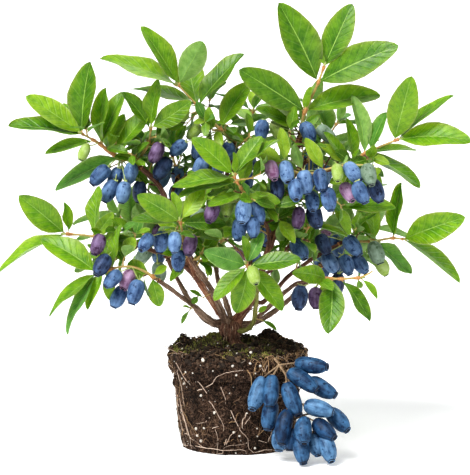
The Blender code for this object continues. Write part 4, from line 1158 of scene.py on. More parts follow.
def soil_material():
    """Damp peat: near-black to brown in crumbs, from a coarse, a middling and a fine noise."""
    material, tree, shader = start_material("soil_peat", 0.93, specular=0.2)
    coarse = noise(tree, 110.0, 4.0, 0.6)
    middling = noise(tree, 640.0, 4.0, 0.7)
    fine = noise(tree, 1500.0, 4.0, 0.7)
    grains = calculate(tree, "ADD", calculate(tree, "MULTIPLY", middling, 0.55), calculate(tree, "MULTIPLY", fine, 0.45))
    mixed = calculate(tree, "ADD", calculate(tree, "MULTIPLY", coarse, 0.22), calculate(tree, "MULTIPLY", grains, 0.78))
    stops = (
        (0.42, (0.002, 0.0012, 0.0008)), (0.485, (0.024, 0.014, 0.008)),
        (0.55, (0.110, 0.064, 0.043)), (0.63, (0.27, 0.185, 0.130)),
    )
    tree.links.new(ramp(tree, mixed, stops), shader.inputs["Base Color"])
    relief(tree, shader, grains, 1.0, 0.0032)
    return material


def plain_material(name, dark, light, roughness, scale=400.0, bump=0.3, depth=0.0004, **more):
    """Two tones by a noise, which also gives the relief."""
    material, tree, shader = start_material(name, roughness, **more)
    value = noise(tree, scale, 4.0, 0.6)
    tree.links.new(ramp(tree, value, ((0.35, dark), (0.65, light))), shader.inputs["Base Color"])
    relief(tree, shader, value, bump, depth)
    return material


def bark_material(name, stops, roughness=0.8, upper=None):
    """Bark by its chart: streaks drawn out along the limb, crossed by a finer noise. From 5 to
    11 centimetres up the limb the tones pass into the upper ones, if these are given."""
    material, tree, shader = start_material(name, roughness, specular=0.3)
    chart = tree.nodes.new("ShaderNodeTexCoord")
    turn = tree.nodes.new("ShaderNodeMapping")
    turn.inputs["Scale"].default_value = (9.0, 0.35, 1.0)
    tree.links.new(chart.outputs["UV"], turn.inputs["Vector"])
    streaks = noise(tree, 1.6, 5.0, 0.65, turn.outputs["Vector"], 0.6)
    fine = noise(tree, 700.0, 4.0, 0.6)
    mixed = calculate(tree, "ADD", calculate(tree, "MULTIPLY", streaks, 0.72), calculate(tree, "MULTIPLY", fine, 0.28))
    colour = ramp(tree, mixed, stops)
    if upper:
        split = tree.nodes.new("ShaderNodeSeparateXYZ")
        tree.links.new(chart.outputs["UV"], split.inputs["Vector"])
        height = calculate(tree, "DIVIDE", calculate(tree, "SUBTRACT", split.outputs["Y"], 5.0), 6.0)
        share = calculate(tree, "MINIMUM", calculate(tree, "MAXIMUM", height, 0.0), 1.0)
        colour = blend_colours(tree, share, colour, ramp(tree, mixed, upper))
    tree.links.new(colour, shader.inputs["Base Color"])
    relief(tree, shader, mixed, 0.8, 0.0006)
    return material


def leaf_material(name, dark, light, vein, margin_tone, roughness, subsurface=0.22):
    """Leaf by its chart, u along and v across: a soft mottle, side veins that slant and bend to
    the tip, a thin margin of its own tone, and a relief that sinks at each vein."""
    material, tree, shader = start_material(name, roughness, subsurface=subsurface, specular=0.32)
    chart = tree.nodes.new("ShaderNodeTexCoord")
    split = tree.nodes.new("ShaderNodeSeparateXYZ")
    tree.links.new(chart.outputs["UV"], split.inputs["Vector"])
    along, across = split.outputs["X"], split.outputs["Y"]
    aside = calculate(tree, "ABSOLUTE", calculate(tree, "SUBTRACT", across, 0.5))
    bend = calculate(tree, "MULTIPLY", calculate(tree, "POWER", aside, 0.75), 0.42)
    slanted = calculate(tree, "SUBTRACT", along, bend)
    wave = calculate(tree, "SINE", calculate(tree, "MULTIPLY", slanted, 2 * math.pi * LEAF_VEINS))
    line = calculate(tree, "POWER", calculate(tree, "MAXIMUM", wave, 0.0), 7.0)
    mottle = noise(tree, 150.0, 6.0, 0.7)
    swell = calculate(tree, "MULTIPLY", wave, -0.028)
    colour = ramp(tree, calculate(tree, "ADD", mottle, swell), ((0.36, dark), (0.64, light)))
    margin = calculate(tree, "POWER", calculate(tree, "MULTIPLY", aside, 2.0), 26.0)
    veined = blend_colours(tree, calculate(tree, "MULTIPLY", line, 0.17), colour, vein)
    rimmed = blend_colours(tree, calculate(tree, "MULTIPLY", margin, 0.7), veined, margin_tone)
    tree.links.new(rimmed, shader.inputs["Base Color"])
    shader.inputs["Subsurface Radius"].default_value = (0.5, 1.0, 0.2)
    height = calculate(tree, "SUBTRACT", calculate(tree, "MULTIPLY", mottle, 0.5), line)
    relief(tree, shader, height, 0.40, 0.0006)
    return material


def berry_material(name, dark, light, bloom, amount):
    """Berry skin under a waxy bloom, whose mean share is the amount: it lies in soft clouds and
    lengthwise streaks, and is rubbed off in spots."""
    material, tree, shader = start_material(name, 0.55, specular=0.30)
    chart = tree.nodes.new("ShaderNodeTexCoord")
    drawn_out = tree.nodes.new("ShaderNodeMapping")
    drawn_out.inputs["Scale"].default_value = (7.0, 1.1, 1.0)
    tree.links.new(chart.outputs["UV"], drawn_out.inputs["Vector"])
    streaks = noise(tree, 1.0, 4.0, 0.6, drawn_out.outputs["Vector"])
    clouds = noise(tree, 170.0, 3.0, 0.55)
    spots = noise(tree, 310.0, 2.0, 0.5)
    specks = noise(tree, 1500.0, 3.0, 0.7)
    skin = ramp(tree, specks, ((0.35, dark), (0.65, light)))
    lying = calculate(tree, "ADD", calculate(tree, "MULTIPLY", clouds, 0.8), calculate(tree, "MULTIPLY", streaks, 0.6))
    spread = calculate(tree, "MULTIPLY", calculate(tree, "SUBTRACT", lying, 0.70), 2.4)
    rubbed = calculate(tree, "MULTIPLY", calculate(tree, "MAXIMUM", calculate(tree, "SUBTRACT", spots, 0.60), 0.0), 7.0)
    share = calculate(tree, "SUBTRACT", calculate(tree, "ADD", spread, amount), rubbed)
    share = calculate(tree, "MINIMUM", calculate(tree, "MAXIMUM", share, 0.0), 0.95)
    tree.links.new(blend_colours(tree, share, skin, bloom), shader.inputs["Base Color"])
    relief(tree, shader, calculate(tree, "ADD", clouds, streaks), 0.22, 0.0008)
    return material


LEAF_VEINS = 8

SOIL = soil_material()
GRIT = plain_material("grit_white", (0.50, 0.45, 0.38), (0.84, 0.80, 0.73), 0.9, 1500.0, 0.5)
ROOT_PALE = plain_material("root_pale", (0.34, 0.235, 0.17), (0.70, 0.56, 0.45), 0.8, 500.0)
ROOT_BROWN = plain_material("root_brown", (0.090, 0.050, 0.028), (0.24, 0.145, 0.085), 0.85, 500.0)
ROOT_TAN = plain_material("root_tan", (0.24, 0.135, 0.060), (0.56, 0.37, 0.20), 0.8, 500.0)
CRUMB_DARK = plain_material("crumb_dark", (0.008, 0.005, 0.003), (0.040, 0.024, 0.014), 0.95, 900.0)
CRUMB_BROWN = plain_material("crumb_brown", (0.040, 0.023, 0.013), (0.125, 0.076, 0.045), 0.95, 900.0)
MOSS_BRIGHT = plain_material("moss_bright", (0.095, 0.100, 0.010), (0.34, 0.33, 0.080), 0.8, 900.0)
MOSS_DARK = plain_material("moss_dark", (0.022, 0.022, 0.006), (0.140, 0.130, 0.045), 0.85, 900.0)
YOUNG_STOPS = (
    (0.30, (0.034, 0.013, 0.011)), (0.47, (0.125, 0.055, 0.039)),
    (0.60, (0.255, 0.135, 0.085)), (0.73, (0.40, 0.26, 0.17)),
)
BARK_OLD = bark_material(
    "bark_old",
    ((0.32, (0.020, 0.011, 0.008)), (0.44, (0.115, 0.068, 0.045)), (0.55, (0.26, 0.168, 0.118)), (0.68, (0.50, 0.385, 0.30))),
    upper=YOUNG_STOPS,
)
BARK_RED = bark_material(
    "bark_red",
    ((0.32, (0.026, 0.009, 0.006)), (0.45, (0.145, 0.057, 0.034)), (0.56, (0.33, 0.155, 0.090)), (0.70, (0.54, 0.36, 0.25))),
    upper=YOUNG_STOPS,
)
BARK_FOOT = bark_material(
    "bark_foot",
    ((0.32, (0.012, 0.006, 0.004)), (0.45, (0.080, 0.036, 0.024)), (0.56, (0.22, 0.112, 0.070)), (0.70, (0.44, 0.28, 0.19))),
)
BARK_YOUNG = bark_material("bark_young", YOUNG_STOPS)
BARK_GREEN = bark_material(
    "bark_green",
    ((0.30, (0.060, 0.058, 0.014)), (0.46, (0.170, 0.170, 0.042)), (0.60, (0.30, 0.31, 0.085)), (0.72, (0.42, 0.38, 0.18))),
)
SHOOT_TAN = bark_material(
    "shoot_tan",
    ((0.30, (0.26, 0.150, 0.045)), (0.46, (0.47, 0.33, 0.105)), (0.62, (0.62, 0.48, 0.19)), (0.78, (0.46, 0.45, 0.15))),
    0.55,
)
SHOOT_JOINT = plain_material("shoot_joint", (0.36, 0.150, 0.045), (0.62, 0.33, 0.110), 0.6, 900.0)
STALK_GREEN = plain_material("stalk_green", (0.30, 0.38, 0.10), (0.48, 0.54, 0.20), 0.6, 600.0)
PALE_MARGIN, BROWN_MARGIN = (0.42, 0.55, 0.16), (0.20, 0.23, 0.060)
LEAF_TONES = (
    leaf_material("leaf_mid", (0.062, 0.168, 0.003), (0.168, 0.300, 0.012), (0.35, 0.49, 0.12), BROWN_MARGIN, 0.38),
    leaf_material("leaf_fresh", (0.100, 0.222, 0.005), (0.225, 0.370, 0.020), (0.40, 0.54, 0.15), PALE_MARGIN, 0.40),
    leaf_material("leaf_deep", (0.029, 0.097, 0.002), (0.098, 0.202, 0.009), (0.25, 0.38, 0.10), BROWN_MARGIN, 0.38),
    leaf_material("leaf_yellow", (0.150, 0.270, 0.006), (0.275, 0.415, 0.030), (0.44, 0.55, 0.15), PALE_MARGIN, 0.42),
    leaf_material("leaf_blue", (0.050, 0.160, 0.016), (0.120, 0.270, 0.048), (0.24, 0.38, 0.13), PALE_MARGIN, 0.38),
)
LEAF_BACK = leaf_material("leaf_back", (0.115, 0.235, 0.045), (0.235, 0.370, 0.105), (0.36, 0.49, 0.19), PALE_MARGIN, 0.60)
MIDRIB = plain_material("leaf_midrib", (0.17, 0.32, 0.035), (0.30, 0.46, 0.085), 0.5, 600.0, 0.1)
LEAF_FOOT = plain_material("leaf_foot", (0.38, 0.26, 0.085), (0.60, 0.46, 0.19), 0.6, 600.0, 0.1)
BERRY_TONES = (
    berry_material("berry_blue", (0.007, 0.022, 0.070), (0.018, 0.050, 0.135), (0.145, 0.255, 0.450), 0.44),
    berry_material("berry_pale_blue", (0.016, 0.046, 0.120), (0.036, 0.088, 0.210), (0.215, 0.345, 0.560), 0.55),
    berry_material("berry_navy", (0.004, 0.008, 0.026), (0.009, 0.018, 0.054), (0.075, 0.125, 0.255), 0.34),
    berry_material("berry_purple", (0.028, 0.009, 0.034), (0.066, 0.025, 0.070), (0.240, 0.165, 0.300), 0.40),
    berry_material("berry_rose", (0.12, 0.035, 0.105), (0.21, 0.080, 0.170), (0.44, 0.30, 0.44), 0.50),
    berry_material("berry_green", (0.20, 0.31, 0.035), (0.32, 0.45, 0.08), (0.42, 0.52, 0.23), 0.30),
    berry_material("berry_turning", (0.045, 0.085, 0.042), (0.095, 0.155, 0.080), (0.27, 0.36, 0.28), 0.50),
)
BERRY_SCAR = plain_material("berry_scar", (0.004, 0.006, 0.014), (0.020, 0.024, 0.040), 0.8, 1500.0)
RIPENESS = (0.50, 0.18, 0.10, 0.09, 0.04, 0.05, 0.04)  # share of the berries in each tone
BARK_PEEL = plain_material("bark_peel", (0.20, 0.115, 0.070), (0.48, 0.34, 0.235), 0.85, 600.0)
STALK_TAN = plain_material("stalk_tan", (0.15, 0.090, 0.050), (0.40, 0.28, 0.165), 0.7, 600.0)
BUNCH_TONES = (
    berry_material("bunch_blue", (0.001, 0.011, 0.037), (0.004, 0.027, 0.080), (0.062, 0.175, 0.335), 0.36),
    berry_material("bunch_light", (0.003, 0.024, 0.070), (0.010, 0.055, 0.138), (0.145, 0.300, 0.495), 0.48),
    berry_material("bunch_deep", (0.001, 0.006, 0.022), (0.002, 0.016, 0.050), (0.028, 0.100, 0.225), 0.36),
)


# Wood


def limb_surface(heap, path, radii, sides, tone, seed, ridge=0.17):
    """Round limb whose radius swells and sinks with a noise that is drawn out along it, and
    swells at old joints a few centimetres apart.

    The grid's point at (s, a) is path(s) + radius(s) * (1 + ridge * n + joint) * outward(a)."""
    steps = max(8, int(np.linalg.norm(np.diff(path, axis=0), axis=1).sum() / LIMB_STEP))
    fine = smooth_path(path, steps)
    spread = np.interp(np.linspace(0, 1, steps + 1), np.linspace(0, 1, len(path)), radii)
    grid, outward = fine_tube(fine, spread, sides)
    length = np.concatenate(((0.0,), np.cumsum(np.linalg.norm(np.diff(fine, axis=0), axis=1))))
    sample = np.empty(grid.shape)
    turns = np.arange(sides) * 2 * math.pi / sides
    sample[..., 0] = np.cos(turns) * 4.0
    sample[..., 1] = np.sin(turns) * 4.0
    sample[..., 2] = (length / 3.5)[:, None]
    swell = ridge * spread[:, None] * crumbly(sample + seed * 31.7, 2.2, seed, 3)
    random = np.random.default_rng((SEED, seed))
    joint = random.uniform(12, 20)
    while joint < length[-1] - 6:
        swell = swell + 0.16 * spread[:, None] * np.exp(-((length - joint) / 1.5) ** 2)[:, None]
        joint += random.uniform(17, 30)
    grid = grid + swell[..., None] * outward
    chart = np.empty((*grid.shape[:2], 2))
    chart[..., 0] = turns / (2 * math.pi)
    chart[..., 1] = (length / 10.0)[:, None]
    closed = capped(grid)
    chart = np.concatenate((chart[:1], chart, chart[-1:]))
    heap.add(closed, tone, wrap=True, chart=chart)


LIMB_STEP = 1.4  # millimetres between the rings of a limb


def flake(heap, point, along, outward, length, width, lift, tone, curl):
    """Peeling strip of bark: a thin ribbon that lies on the limb at one end and bows off it,
    height = lift * t^2, with edges that taper to both ends."""
    t = np.linspace(0, 1, 7)
    side = np.cross(outward, along)
    middle = point + np.outer(t * length, along) + np.outer(0.15 + lift * t**2, outward) + np.outer(curl * t**2, side)
    half = width / 2 * np.sin(math.pi * (0.15 + 0.8 * t))
    over = outward * 0.25
    grid = np.stack((middle - side * half[:, None], middle + over, middle + side * half[:, None], middle - over * 0.2), axis=1)
    heap.add(capped(grid), tone, wrap=True)


# Leaves, shoots and berries


def leaf_surface(heap, root, direction, normal, length, width, tones, random, small=False):
    """Thin leaf on a short stalk. At (t, v) it lies at root + direction * length * t,
    half-width * v to the side, raised by a shallow fold and waves at the margin, and lowered
    by the arch of the solid. The lower sheet closes it at the margin."""
    upper, under, rib, foot = tones
    rows, columns = (SMALL_ROWS, SMALL_COLUMNS) if small else (LEAF_ROWS, LEAF_COLUMNS)
    stalk = min(LEAF_STALK / length, 0.18)
    t = np.concatenate((np.linspace(0, stalk, 3)[:-1], stalk + (1 - stalk) * rows))
    u = np.clip((t - stalk) / (1 - stalk), 0, 1)
    fullness = LEAF_BASE + (LEAF_END - LEAF_BASE) * u
    half = LEAF_BREADTH * width / 2 * np.sin(math.pi * u**LEAF_FORWARD) ** fullness
    half = np.maximum(half, (0.4 if small else 0.5) * (1 - u) ** 0.2)
    half[-1] = 0.0
    v = columns[None] * np.ones((len(t), 1))
    v[:, np.abs(columns) < RIB_WIDTH] *= (1 - 0.7 * u)[:, None]
    lateral = np.cross(normal, direction)
    wave = random.normal(0, 0.035, 3) * width
    phase = random.uniform(0, 2 * math.pi, 2)
    bow = random.normal(0, 0.035)
    fold = random.uniform(0.16, 0.42)
    rise = fold * half[:, None] * np.abs(v) - LEAF_ARCH * length * (t**2)[:, None]
    rise = rise + wave[0] * np.sin(7.5 * t + phase[0])[:, None] * v**2 * np.sign(v)
    rise = rise + wave[1] * np.sin(11 * t + phase[1])[:, None] * v**2
    side = half[:, None] * v + (bow * length * np.sin(math.pi * t) * 0.5)[:, None]
    middle = root + np.outer(t * length, direction)
    top = middle[:, None] + side[..., None] * lateral + rise[..., None] * normal
    depth = 0.16 * (1 - np.abs(v)) ** 0.5
    depth = np.where(np.abs(v) < RIB_WIDTH, 0.38, depth)
    depth = np.maximum(depth, np.where(u[:, None] <= 0, 0.45, 0.0)) * np.where(np.abs(v) > 0.999, 0.0, 1.0)
    depth[-1] = 0.0
    low = top - depth[..., None] * normal
    top = top + 0.3 * depth[..., None] * normal
    chart = np.empty((*top.shape[:2], 2))
    chart[..., 0] = u[:, None]
    chart[..., 1] = v / 2 + 0.5
    band = np.abs(columns[:-1] + columns[1:]) < RIB_WIDTH
    tone = np.where(band[None], rib, upper) * np.ones((len(t) - 1, 1), int)
    below = np.where(band[None], rib, under) * np.ones((len(t) - 1, 1), int)
    tone[:2] = foot
    below[:2] = foot
    heap.add(top, tone, chart=chart)
    heap.add(low, below, flip=True, chart=chart)


LEAF_STALK = 2.8
LEAF_FORWARD, LEAF_BREADTH = 0.98, 1.04
LEAF_BASE, LEAF_END = 0.84, 0.58  # how slowly a leaf widens from its foot, and from its tip
LEAF_ROWS = np.array((0.0, 0.04, 0.12, 0.24, 0.38, 0.52, 0.66, 0.80, 0.91, 0.97, 1.0))
LEAF_COLUMNS = np.array((-1.0, -0.62, -0.28, -0.045, 0.045, 0.28, 0.62, 1.0))
SMALL_ROWS = np.array((0.0, 0.12, 0.32, 0.56, 0.80, 0.94, 1.0))
SMALL_COLUMNS = np.array((-1.0, -0.5, -0.06, 0.06, 0.5, 1.0))
RIB_WIDTH = 0.1  # the columns nearer the middle than this carry the rib


def berry_surface(heap, top, axis, length, radius, tone, scar, random, bend=0.0):
    """Berry turned about its axis: radius * (1 - |2t - 1|^2.6)^0.5 * (1.03 - 0.14 t) at a share
    t of its body, with soft lumps. At the far end a lip stands round a dimple, where the
    flower sat."""
    body = BERRY_BODY_START + (BERRY_BODY_END - BERRY_BODY_START) * BERRY_ROWS
    breadth = np.sqrt(np.maximum(0.0, 1 - np.abs(2 * body - 1) ** 2.6)) * (1.03 - 0.14 * body)
    breadth[0] = 0.0
    t = np.concatenate((BERRY_ROWS * 0.965, BERRY_END[:, 0]))
    breadth = np.concatenate((breadth, BERRY_END[:, 1]))
    turns = np.arange(BERRY_COLUMNS) * 2 * math.pi / BERRY_COLUMNS
    helper = ACROSS if abs(axis[0]) < 0.8 else UPWARD
    side = square_to(helper, axis)
    other = np.cross(axis, side)
    outward = np.outer(np.cos(turns), side) + np.outer(np.sin(turns), other)
    phase = random.uniform(0, 2 * math.pi, 3)
    lumps = 1 + 0.035 * np.sin(2 * turns[None] + phase[0] + 3 * t[:, None]) + 0.025 * np.sin(5 * t[:, None] + phase[1])
    bow = bend * length * (t - t**2)
    middle = top + np.outer(t * length, axis) + np.outer(bow, side)
    grid = middle[:, None] + (radius * breadth[:, None] * lumps)[..., None] * outward
    tones = np.full((len(t) - 1, BERRY_COLUMNS), tone)
    tones[-len(BERRY_END):][BERRY_END[:, 2] > 0] = scar
    chart = np.empty((*grid.shape[:2], 2))
    chart[..., 0] = np.abs(turns / math.pi - 1) + random.uniform(0, 40)
    chart[..., 1] = t[:, None] + random.uniform(0, 40)
    heap.add(grid, tones, wrap=True, chart=chart)


BERRY_BODY_START, BERRY_BODY_END = 0.015, 0.955
BERRY_ROWS = np.array((0.0, 0.03, 0.09, 0.19, 0.33, 0.50, 0.67, 0.81, 0.91, 0.97, 1.0))
# The end of a berry: share of the length and of the radius at each ring, and 1 where the
# band that leads to it is dark
BERRY_END = np.array((
    (0.970, 0.40, 1), (0.978, 0.47, 1), (1.000, 0.47, 1), (1.010, 0.40, 0),
    (1.000, 0.30, 0), (0.975, 0.25, 1), (0.965, 0.13, 1), (0.963, 0.0, 1),
))
BERRY_COLUMNS = 14


def stalk_surface(heap, start, end, width, tone, sag=0.0):
    """Thin bent stalk, five-sided, from one place to another."""
    middle = (start + end) / 2 + np.array((0.0, 0.0, -sag))
    path = smooth_path([start, middle, end], 4)
    grid, _ = fine_tube(path, np.linspace(width * 1.15, width, len(path)), 5)
    heap.add(capped(grid), tone, wrap=True)


def shoot_surface(heap, path, start_radius, end_radius, knots, tone, joint):
    """Young shoot: a round tube that swells at each place where leaves or berries leave it."""
    steps = max(10, int(np.linalg.norm(np.diff(path, axis=0), axis=1).sum() / 1.2))
    fine = smooth_path(path, steps)
    share = np.linspace(0, 1, steps + 1)
    radius = start_radius + (end_radius - start_radius) * share
    near = np.zeros(steps + 1)
    for knot in knots:
        near = np.maximum(near, np.exp(-((share - knot) * steps / 1.1) ** 2))
    grid, _ = fine_tube(fine, radius + 0.75 * near, 8)
    length = share * steps * 1.2
    chart = np.empty((*grid.shape[:2], 2))
    chart[..., 0] = np.arange(8) / 8
    chart[..., 1] = (length / 10.0)[:, None]
    closed = capped(grid)
    chart = np.concatenate((chart[:1], chart, chart[-1:]))
    swollen = np.concatenate((near[:1], near, near[-1:]))
    tones = np.where(np.maximum(swollen[:-1], swollen[1:]) > 0.55, joint, tone)
    heap.add(closed, tones[:, None] * np.ones((1, 8), int), wrap=True, chart=chart)


def ellipsoid(heap, middle, radii, turn, tone, seed, rows=5, columns=7, rough=0.25):
    """Uneven grain: a ball stretched along three axes, its surface moved by a noise."""
    lift = np.linspace(0, math.pi, rows)
    around = np.arange(columns) * 2 * math.pi / columns
    ball = np.empty((rows, columns, 3))
    ball[..., 0] = np.sin(lift)[:, None] * np.cos(around)[None]
    ball[..., 1] = np.sin(lift)[:, None] * np.sin(around)[None]
    ball[..., 2] = np.cos(lift)[:, None]
    bump = 1 + rough * lattice_noise(ball * 1.7 + seed * 5.3, 1.0, seed)
    spun = (ball * bump[..., None] * np.asarray(radii)) @ turn.T
    heap.add(middle + spun, tone, wrap=True, flip=True)


def random_turn(random):
    """Rotation drawn evenly, from the orthogonal part of a random matrix."""
    turn, _ = np.linalg.qr(random.normal(size=(3, 3)))
    if np.linalg.det(turn) < 0:
        turn[:, 0] = -turn[:, 0]
    return turn


# Root ball


def ground(x, y):
    """Height of the soil with the mossy mound that leans on the trunk's left side."""
    (middle_x, middle_y), (reach_x, reach_y) = MOUND_PLACE, MOUND_REACH
    away = ((x - middle_x) / reach_x) ** 2 + ((y - middle_y) / reach_y) ** 2
    return soil_height(x, y) + MOUND_RISE * np.exp(-away)


MOUND_PLACE, MOUND_REACH, MOUND_RISE = (-15.5, 1.0), (11.5, 10.0), 6.3
# The wall as in the solid, with the ledge under the rim drawn in to a crease
WALL_PROFILE = (
    (0, 41.8), (18, 43.6), (38, 45.6), (53, 47.3), (55.4, 46.9), (57.0, 50.0), (59, 50.7), (65, 51.4), (71.5, 51.2),
)


def wall_radius(turns, heights):
    """Radius of the root ball's wall at an angle and a height, without its crumbs."""
    stops = np.array(WALL_PROFILE)
    return np.interp(heights, stops[:, 0], stops[:, 1]) + BALL_ROUGHNESS * uneven(turns, heights, BALL_PHASE)


def on_wall(x, height):
    """Point of the wall that is seen from the front at x and a height of the view."""
    depth = -40.0
    for _ in range(6):
        z = height - VIEW_SLOPE * depth
        radius = np.interp(z, *np.array(BALL_PROFILE).T)
        depth = -math.sqrt(max(radius**2 - x**2, 1.0))
    return np.array((x, depth, max(height - VIEW_SLOPE * depth, 0.6)))


def ball_surface(heap):
    """Closed grid over the angle and a way that runs from the middle of the underside up the
    wall and over the soil to its middle. Each point moves outward, or up on the soil, by
    noises of 8, 3, 1.8 and 1.1 mm; the underside stays flat."""
    turns = np.arange(BALL_TURNS) * 2 * math.pi / BALL_TURNS
    under = np.linspace(0.0, 1.0, 8)
    climb = np.linspace(0.0, BALL_PROFILE[-1][0], 112)
    inward = np.linspace(0.0, 1.0, 58)[1:]
    rows = []
    for share in under[:-1]:
        radius = share * wall_radius(turns, 0.0)
        rows.append(np.column_stack((radius * np.cos(turns), radius * np.sin(turns), np.zeros(BALL_TURNS))))
    for height in climb:
        radius = wall_radius(turns, height)
        rows.append(np.column_stack((radius * np.cos(turns), radius * np.sin(turns), np.full(BALL_TURNS, height))))
    rim = rows[-1][:, :2]
    rim_height = rows[-1][:, 2]
    foot = np.array(FOOT)
    for share in inward:
        flat = rim + (foot - rim) * share
        soil = ground(flat[:, 0], flat[:, 1])
        settle_in = min(1.0, share * 9)
        height = rim_height * (1 - settle_in) + soil * settle_in
        rows.append(np.column_stack((flat, height)))
    grid = np.array(rows)
    first_top = len(under) - 1 + len(climb)
    out = grid * (1, 1, 0)
    length = np.linalg.norm(out, axis=2, keepdims=True)
    out = out / np.maximum(length, 1e-6)
    top_share = np.clip((np.arange(len(rows)) - first_top + 4) / 8.0, 0, 1)[:, None, None]
    push = out * (1 - top_share) + np.array((0, 0, 1.0)) * top_share
    rough = 0.9 * lattice_noise(grid, 8.0, 3) + 0.9 * lattice_noise(grid, 3.1, 5)
    rough = rough + 0.75 * lattice_noise(grid, 1.8, 9) + 0.45 * lattice_noise(grid, 1.1, 11)
    rough = rough + 1.1 * np.maximum(0, lattice_noise(grid, 4.6, 13) - 0.25) * 2
    amount = np.ones(len(rows))
    amount[: len(under) - 1] = 0.0
    low = grid[:, 0, 2] < 3.0
    amount[(amount > 0) & low] = 0.55
    amount[first_top:] = 1.0
    amount[-5:] = 0.3
    grid = grid + (rough * amount[:, None])[..., None] * push
    grid[..., 2] = np.maximum(grid[..., 2], 0.0)
    heap.add(grid, 0, wrap=True)
    return grid[len(under) - 1 :]


BALL_TURNS = 460

# Roots seen on the front of the wall, by (x, height) as read in the front view
SEEN_ROOTS = (
    ((-44.6, 63.4), (-37.9, 52.0), (-34.1, 46.7)),
    ((-43.9, 32.3), (-40.9, 24.8), (-37.1, 14.9), (-34.1, 4.3), (-33.4, -1.7)),
    ((-28.9, 42.9), (-18.4, 47.5), (-14.6, 53.5), (-5.6, 57.3), (4.1, 58.8)),
    ((-20.6, 35.4), (-16.1, 28.5), (-10.9, 18.7), (-10.1, 12.6)),
    ((-4.9, 28.5), (-1.1, 19.5), (1.9, 13.4), (6.8, 7.3), (7.9, -0.2), (11.6, -4.0)),
    ((-12.0, 46.0), (-9.4, 38.4), (-8.6, 33.1)),
    ((-30.4, 0.5), (-20.0, -0.5), (-8.0, -1.5), (2.0, -1.0), (6.0, -3.3)),
    ((-18.1, 14.5), (-13.6, 16.0)),
    ((-8.1, 2.6), (-5.4, 9.1), (-1.1, 12.6)),
    ((5.5, 18.2), (9.1, 23.8)),
    ((21.9, 4.5), (24.6, 12.7)),
    ((-43.6, 55.9), (-40.9, 43.0), (-38.6, 30.2)),
    ((-42.0, 36.0), (-38.0, 20.0), (-35.0, 8.0), (-31.0, 5.0)),
    ((-22.0, 41.0), (-26.0, 47.0), (-29.0, 50.0)),
)
# White grains on the front of the wall: x, height and radius
SEEN_GRIT = (
    (-24.9, 66.4, 1.8), (-3.6, 61.8, 1.1), (9.6, 72.1, 1.1), (9.1, 63.8, 1.1), (16.6, 61.8, 1.0),
    (-32.4, 56.6, 1.3), (-38.3, 56.6, 0.9), (-39.5, 47.6, 1.0), (-41.3, 51.3, 0.8), (-22.4, 60.7, 0.9),
    (-18.1, 58.0, 0.8), (-0.9, 54.9, 1.0), (4.0, 54.0, 0.9), (13.1, 56.3, 0.8), (-26.9, 39.1, 1.1),
    (-5.9, 41.2, 0.7), (-16.9, 26.3, 1.3), (-30.6, 13.7, 1.3), (-24.7, 14.3, 1.0), (-29.5, 8.4, 1.3),
    (-26.9, 4.5, 1.3), (-2.9, 11.4, 1.1), (1.4, 8.8, 0.9), (14.3, 14.3, 0.7), (14.6, 8.4, 0.7),
    (25.1, 6.3, 0.8), (12.8, -0.6, 1.1), (6.4, -4.2, 0.9), (-1.3, -4.2, 0.7), (6.9, 26.0, 0.7),
)


def wall_point(turn, height, off=0.0):
    radius = float(wall_radius(np.array(turn), height)) + off
    return np.array((radius * math.cos(turn), radius * math.sin(turn), height))


def root_thread(heap, points, width, tone, random, sides=5):
    """Root that wanders a little off its points, thins to its end and dips into the soil there."""
    steps = max(6, int(np.linalg.norm(np.diff(points, axis=0), axis=1).sum() / 1.5))
    path = smooth_path(points, steps)
    wander = np.cumsum(random.normal(0, 0.17, path.shape), axis=0)
    path = path + wander - np.linspace(wander[0], wander[-1], len(path))
    taper = width * (1 - 0.55 * np.linspace(0, 1, len(path)) ** 1.5)
    grid, _ = fine_tube(path, taper, sides)
    heap.add(capped(grid), tone, wrap=True)


